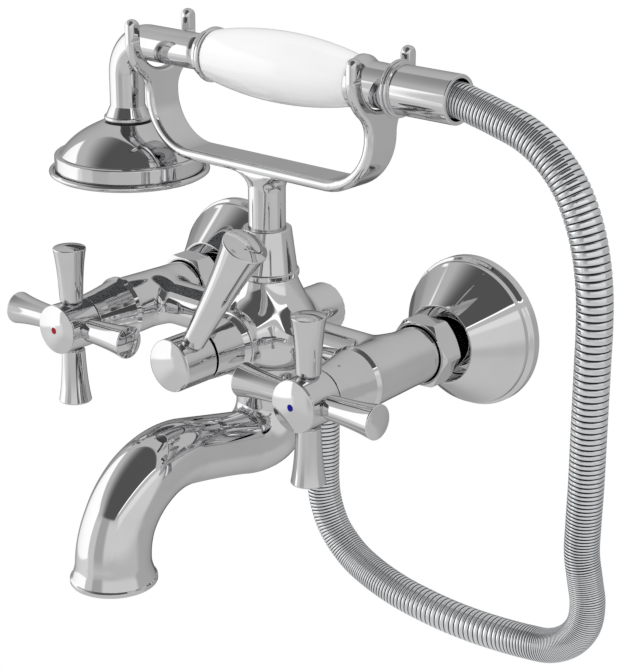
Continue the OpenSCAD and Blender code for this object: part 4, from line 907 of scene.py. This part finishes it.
# Grey plastic darkened as painted shade, for the shadow under the hand shower's head.
spray_plastic_painted_shade = plain_finish("grey_plastic_painted_shade", "#66686B", "#5E6063", 2.5, 0.0, (0.35, 0.5), 0.02)
own_finish = {"outlet_nipple": chrome, "hot_union": chrome, "cold_union": chrome,
              "spray_face": spray_plastic_painted_shade}
slot_of = {row["node"]: row["material_slot"] for row in frame["record"]["subparts"]}
for node_name, cad_piece in frame["nodes"].items():
    cad_piece.data.materials.clear()
    cad_piece.data.materials.append(own_finish.get(node_name, slot_finish[slot_of[node_name]]))
print("finished", len(frame["nodes"]), "CAD nodes")

# %% [markdown]
# ## Floor and world
# The photograph has a pure white ground and no shadow on it, so the world is white where the
# camera looks, and the pale floor lies well below. Both could be lit until they clip, but
# that would bleach the grip too. Light Path tells camera rays from the rays that light the
# pieces, so the ground can be white while the light on the mixer stays at a plain level.

# %% Floor and world
FLOOR_Z, FLOOR_HALF = -1.2, 4
floor_mesh = bpy.data.meshes.new("pale_floor")
floor_mesh.from_pydata([(x * FLOOR_HALF, y * FLOOR_HALF, FLOOR_Z)
                        for x, y in ((-1, -1), (1, -1), (1, 1), (-1, 1))], [], [(0, 1, 2, 3)])
floor = bpy.data.objects.new("pale_floor", floor_mesh)
bpy.context.collection.objects.link(floor)
floor.visible_glossy = False
paper, tree, out = new_finish("pale_paper")
rays = add_node(tree, "ShaderNodeLightPath")
sheet = add_node(tree, "ShaderNodeBsdfDiffuse", {"Color": linear("#F4F4F4")})
white = add_node(tree, "ShaderNodeEmission", {"Color": (1, 1, 1, 1), "Strength": 1.0})
mix = add_node(tree, "ShaderNodeMixShader", None,
               {0: rays.outputs["Is Camera Ray"], 1: sheet.outputs[0], 2: white.outputs[0]})
tree.links.new(mix.outputs[0], out.inputs["Surface"])
floor_mesh.materials.append(paper)

world = bpy.data.worlds.new("white_studio")
bpy.context.scene.world = world
world.use_nodes = True
tree = world.node_tree
tree.nodes.clear()
rays = add_node(tree, "ShaderNodeLightPath")
seen = add_node(tree, "ShaderNodeMath", None,
                {0: rays.outputs["Is Camera Ray"], 1: rays.outputs["Is Glossy Ray"]}, operation="MAXIMUM")
seen = add_node(tree, "ShaderNodeMath", None,
                {0: seen.outputs[0], 1: rays.outputs["Is Transmission Ray"]}, operation="MAXIMUM")
level = add_node(tree, "ShaderNodeMapRange", {"To Min": 0.9, "To Max": 1.0}, {"Value": seen.outputs[0]})
sky = add_node(tree, "ShaderNodeBackground", {"Color": (1, 1, 1, 1)},
               {"Strength": level.outputs["Result"]})
add_node(tree, "ShaderNodeOutputWorld", None, {"Surface": sky.outputs[0]})
bpy.context.scene.view_settings.view_transform = "Standard"
print("floor at", FLOOR_Z, "m and a white world")

# %% [markdown]
# ## Studio tent
# A mirror shows only what stands around it, so a tent is hung round the mixer that only gloss
# sees: grey walls with paler and darker fields, a dark ceiling panel with a bright strip
# along its right edge, and a large soft window on the left. An image could wrap the scene
# instead, but a few cards say plainly which light makes which gleam. Each card is flat with
# soft edges, and its light is written into the points of a sphere.

# %% Studio tent
WALL_GREY = 0.62
TENT_R = 3000
NEAR = 0.02
# Each card is flat and stands 1 m away on the side named. Its edges are in metres from the point
# straight across: to the right (to the front on the left and right sides), then upwards (to the
# front above and below). Then the softness of those four edges and the brightness.
studio_cards = [
    ("low_back_wall", "back", -5.0, 5.0, -0.9, 0.35, (1.0, 1.0, 0.4, 0.5), 0.50),
    ("pale_floor", "below", -2.8, 1.8, -0.3, 3.0, (0.8, 1.0, 0.4, 0.8), 0.68),
    ("right_wall", "right", -0.32, 1.6, -0.20, 0.50, (0.2, 0.5, 0.3, 0.1), 0.80),
    ("right_wall_top", "right", -0.25, 1.35, 0.36, 0.60, (0.2, 0.4, 0.1, 0.06), 0.97),
    ("front_right_wall", "front", 0.22, 0.9, -0.16, 0.42, (0.2, 0.3, 0.25, 0.1), 0.80),
    ("front_wall", "front", -0.27, 0.22, -0.22, 0.49, (0.12, 0.2, 0.2, 0.06), 0.48),
    ("beside_window", "front", -1.0, -0.25, -0.44, 0.40, (0.3, 0.12, 0.2, 0.12), 0.75),
    ("back_gap", "back", -1.5, -0.35, -0.95, 0.0, (0.3, 0.3, 0.3, 0.3), 0.20),
    ("dark_ceiling", "above", -0.66, 1.15, -0.09, 2.3, (0.9, 0.08, 0.04, 0.15), 0.11),
    ("ceiling_strip", "above", 1.15, 1.24, -0.10, 1.9, (0.04, 0.05, 0.05, 0.3), 1.8),
    ("window_sill", "left", -0.12, 1.6, -0.66, -0.30, (0.1, 0.3, 0.3, 0.05), 0.92),
    ("left_window", "left", -0.12, 1.43, -0.36, 0.65, (0.05, 0.10, 0.05, 0.08), 1.4),
]


def tent_light(way):
    """Wall grey, then each card laid over it: a direction is carried on to the card's plane by
    dividing by its depth, and the card's share is the product of four smooth edges there."""
    x, front, up = way[..., 0], -way[..., 1], way[..., 2]
    sides = {"left": (-x, front, up), "right": (x, front, up), "front": (front, x, up),
             "back": (-front, x, up), "above": (up, x, front), "below": (-up, x, front)}
    light = np.full(x.shape, WALL_GREY)
    for _, side, west, east, low, high, soft, bright in studio_cards:
        depth, u, v = sides[side]
        share = (depth > NEAR).astype(float)
        u, v = u / np.maximum(depth, NEAR), v / np.maximum(depth, NEAR)
        for distance, edge in zip((u - west, east - u, v - low, high - v), soft):
            s = np.clip(distance / edge + 0.5, 0, 1)
            share = share * s * s * (3 - 2 * s)
        light = light * (1 - share) + bright * share
    return light


azimuth, elevation = np.radians(np.meshgrid(np.arange(-180, 180, 0.5), np.linspace(-90, 90, 361)))
tent_ways = np.stack([np.cos(elevation) * np.sin(azimuth), -np.cos(elevation) * np.cos(azimuth),
                      np.sin(elevation)], -1)
tent_points = TENT_R * tent_ways
tent_faces = grid_faces(tent_points, -tent_points)
tent_mesh = bpy.data.meshes.new("studio_tent")
tent_mesh.from_pydata((tent_points.reshape(-1, 3) * MM).tolist(), [], tent_faces.tolist())
light_data = tent_mesh.attributes.new("light", "FLOAT", "POINT").data
light_data.foreach_set("value", tent_light(tent_ways).ravel().astype(np.float32))
tent = bpy.data.objects.new("studio_tent", tent_mesh)
bpy.context.collection.objects.link(tent)
for ray in ("camera", "diffuse", "shadow", "volume_scatter"):
    setattr(tent, "visible_" + ray, False)
cards, tree, out = new_finish("studio_cards")
bright = add_node(tree, "ShaderNodeAttribute", attribute_name="light")
shine = add_node(tree, "ShaderNodeEmission", None, {"Strength": bright.outputs["Fac"]})
tree.links.new(shine.outputs[0], out.inputs["Surface"])
tent_mesh.materials.append(cards)
print("tent of", len(studio_cards), "cards")

# %% [markdown]
# ## Lamps
# The world lights the pieces evenly, and two soft lamps from the left and above shape the
# grip and the dots a little. Stronger lamps would bleach the white ceramic. Gloss doesn't
# see them, because the tent already has the window they stand for.

# %% Lamps
def soft_lamp(name, place, size, watts):
    """A square soft lamp that faces the middle of the mixer."""
    lamp = bpy.data.objects.new(name, bpy.data.lights.new(name, "AREA"))
    lamp.data.size, lamp.data.energy = size, watts
    lamp.location = place
    lamp.rotation_euler = lamp.location.to_track_quat("Z", "Y").to_euler()
    lamp.visible_glossy = False
    bpy.context.collection.objects.link(lamp)


soft_lamp("left_softbox", (-1.6, -1.2, 1.0), 1.2, 4)
soft_lamp("top_softbox", (0.3, -0.9, 1.8), 1.2, 5)
print("two soft lamps")
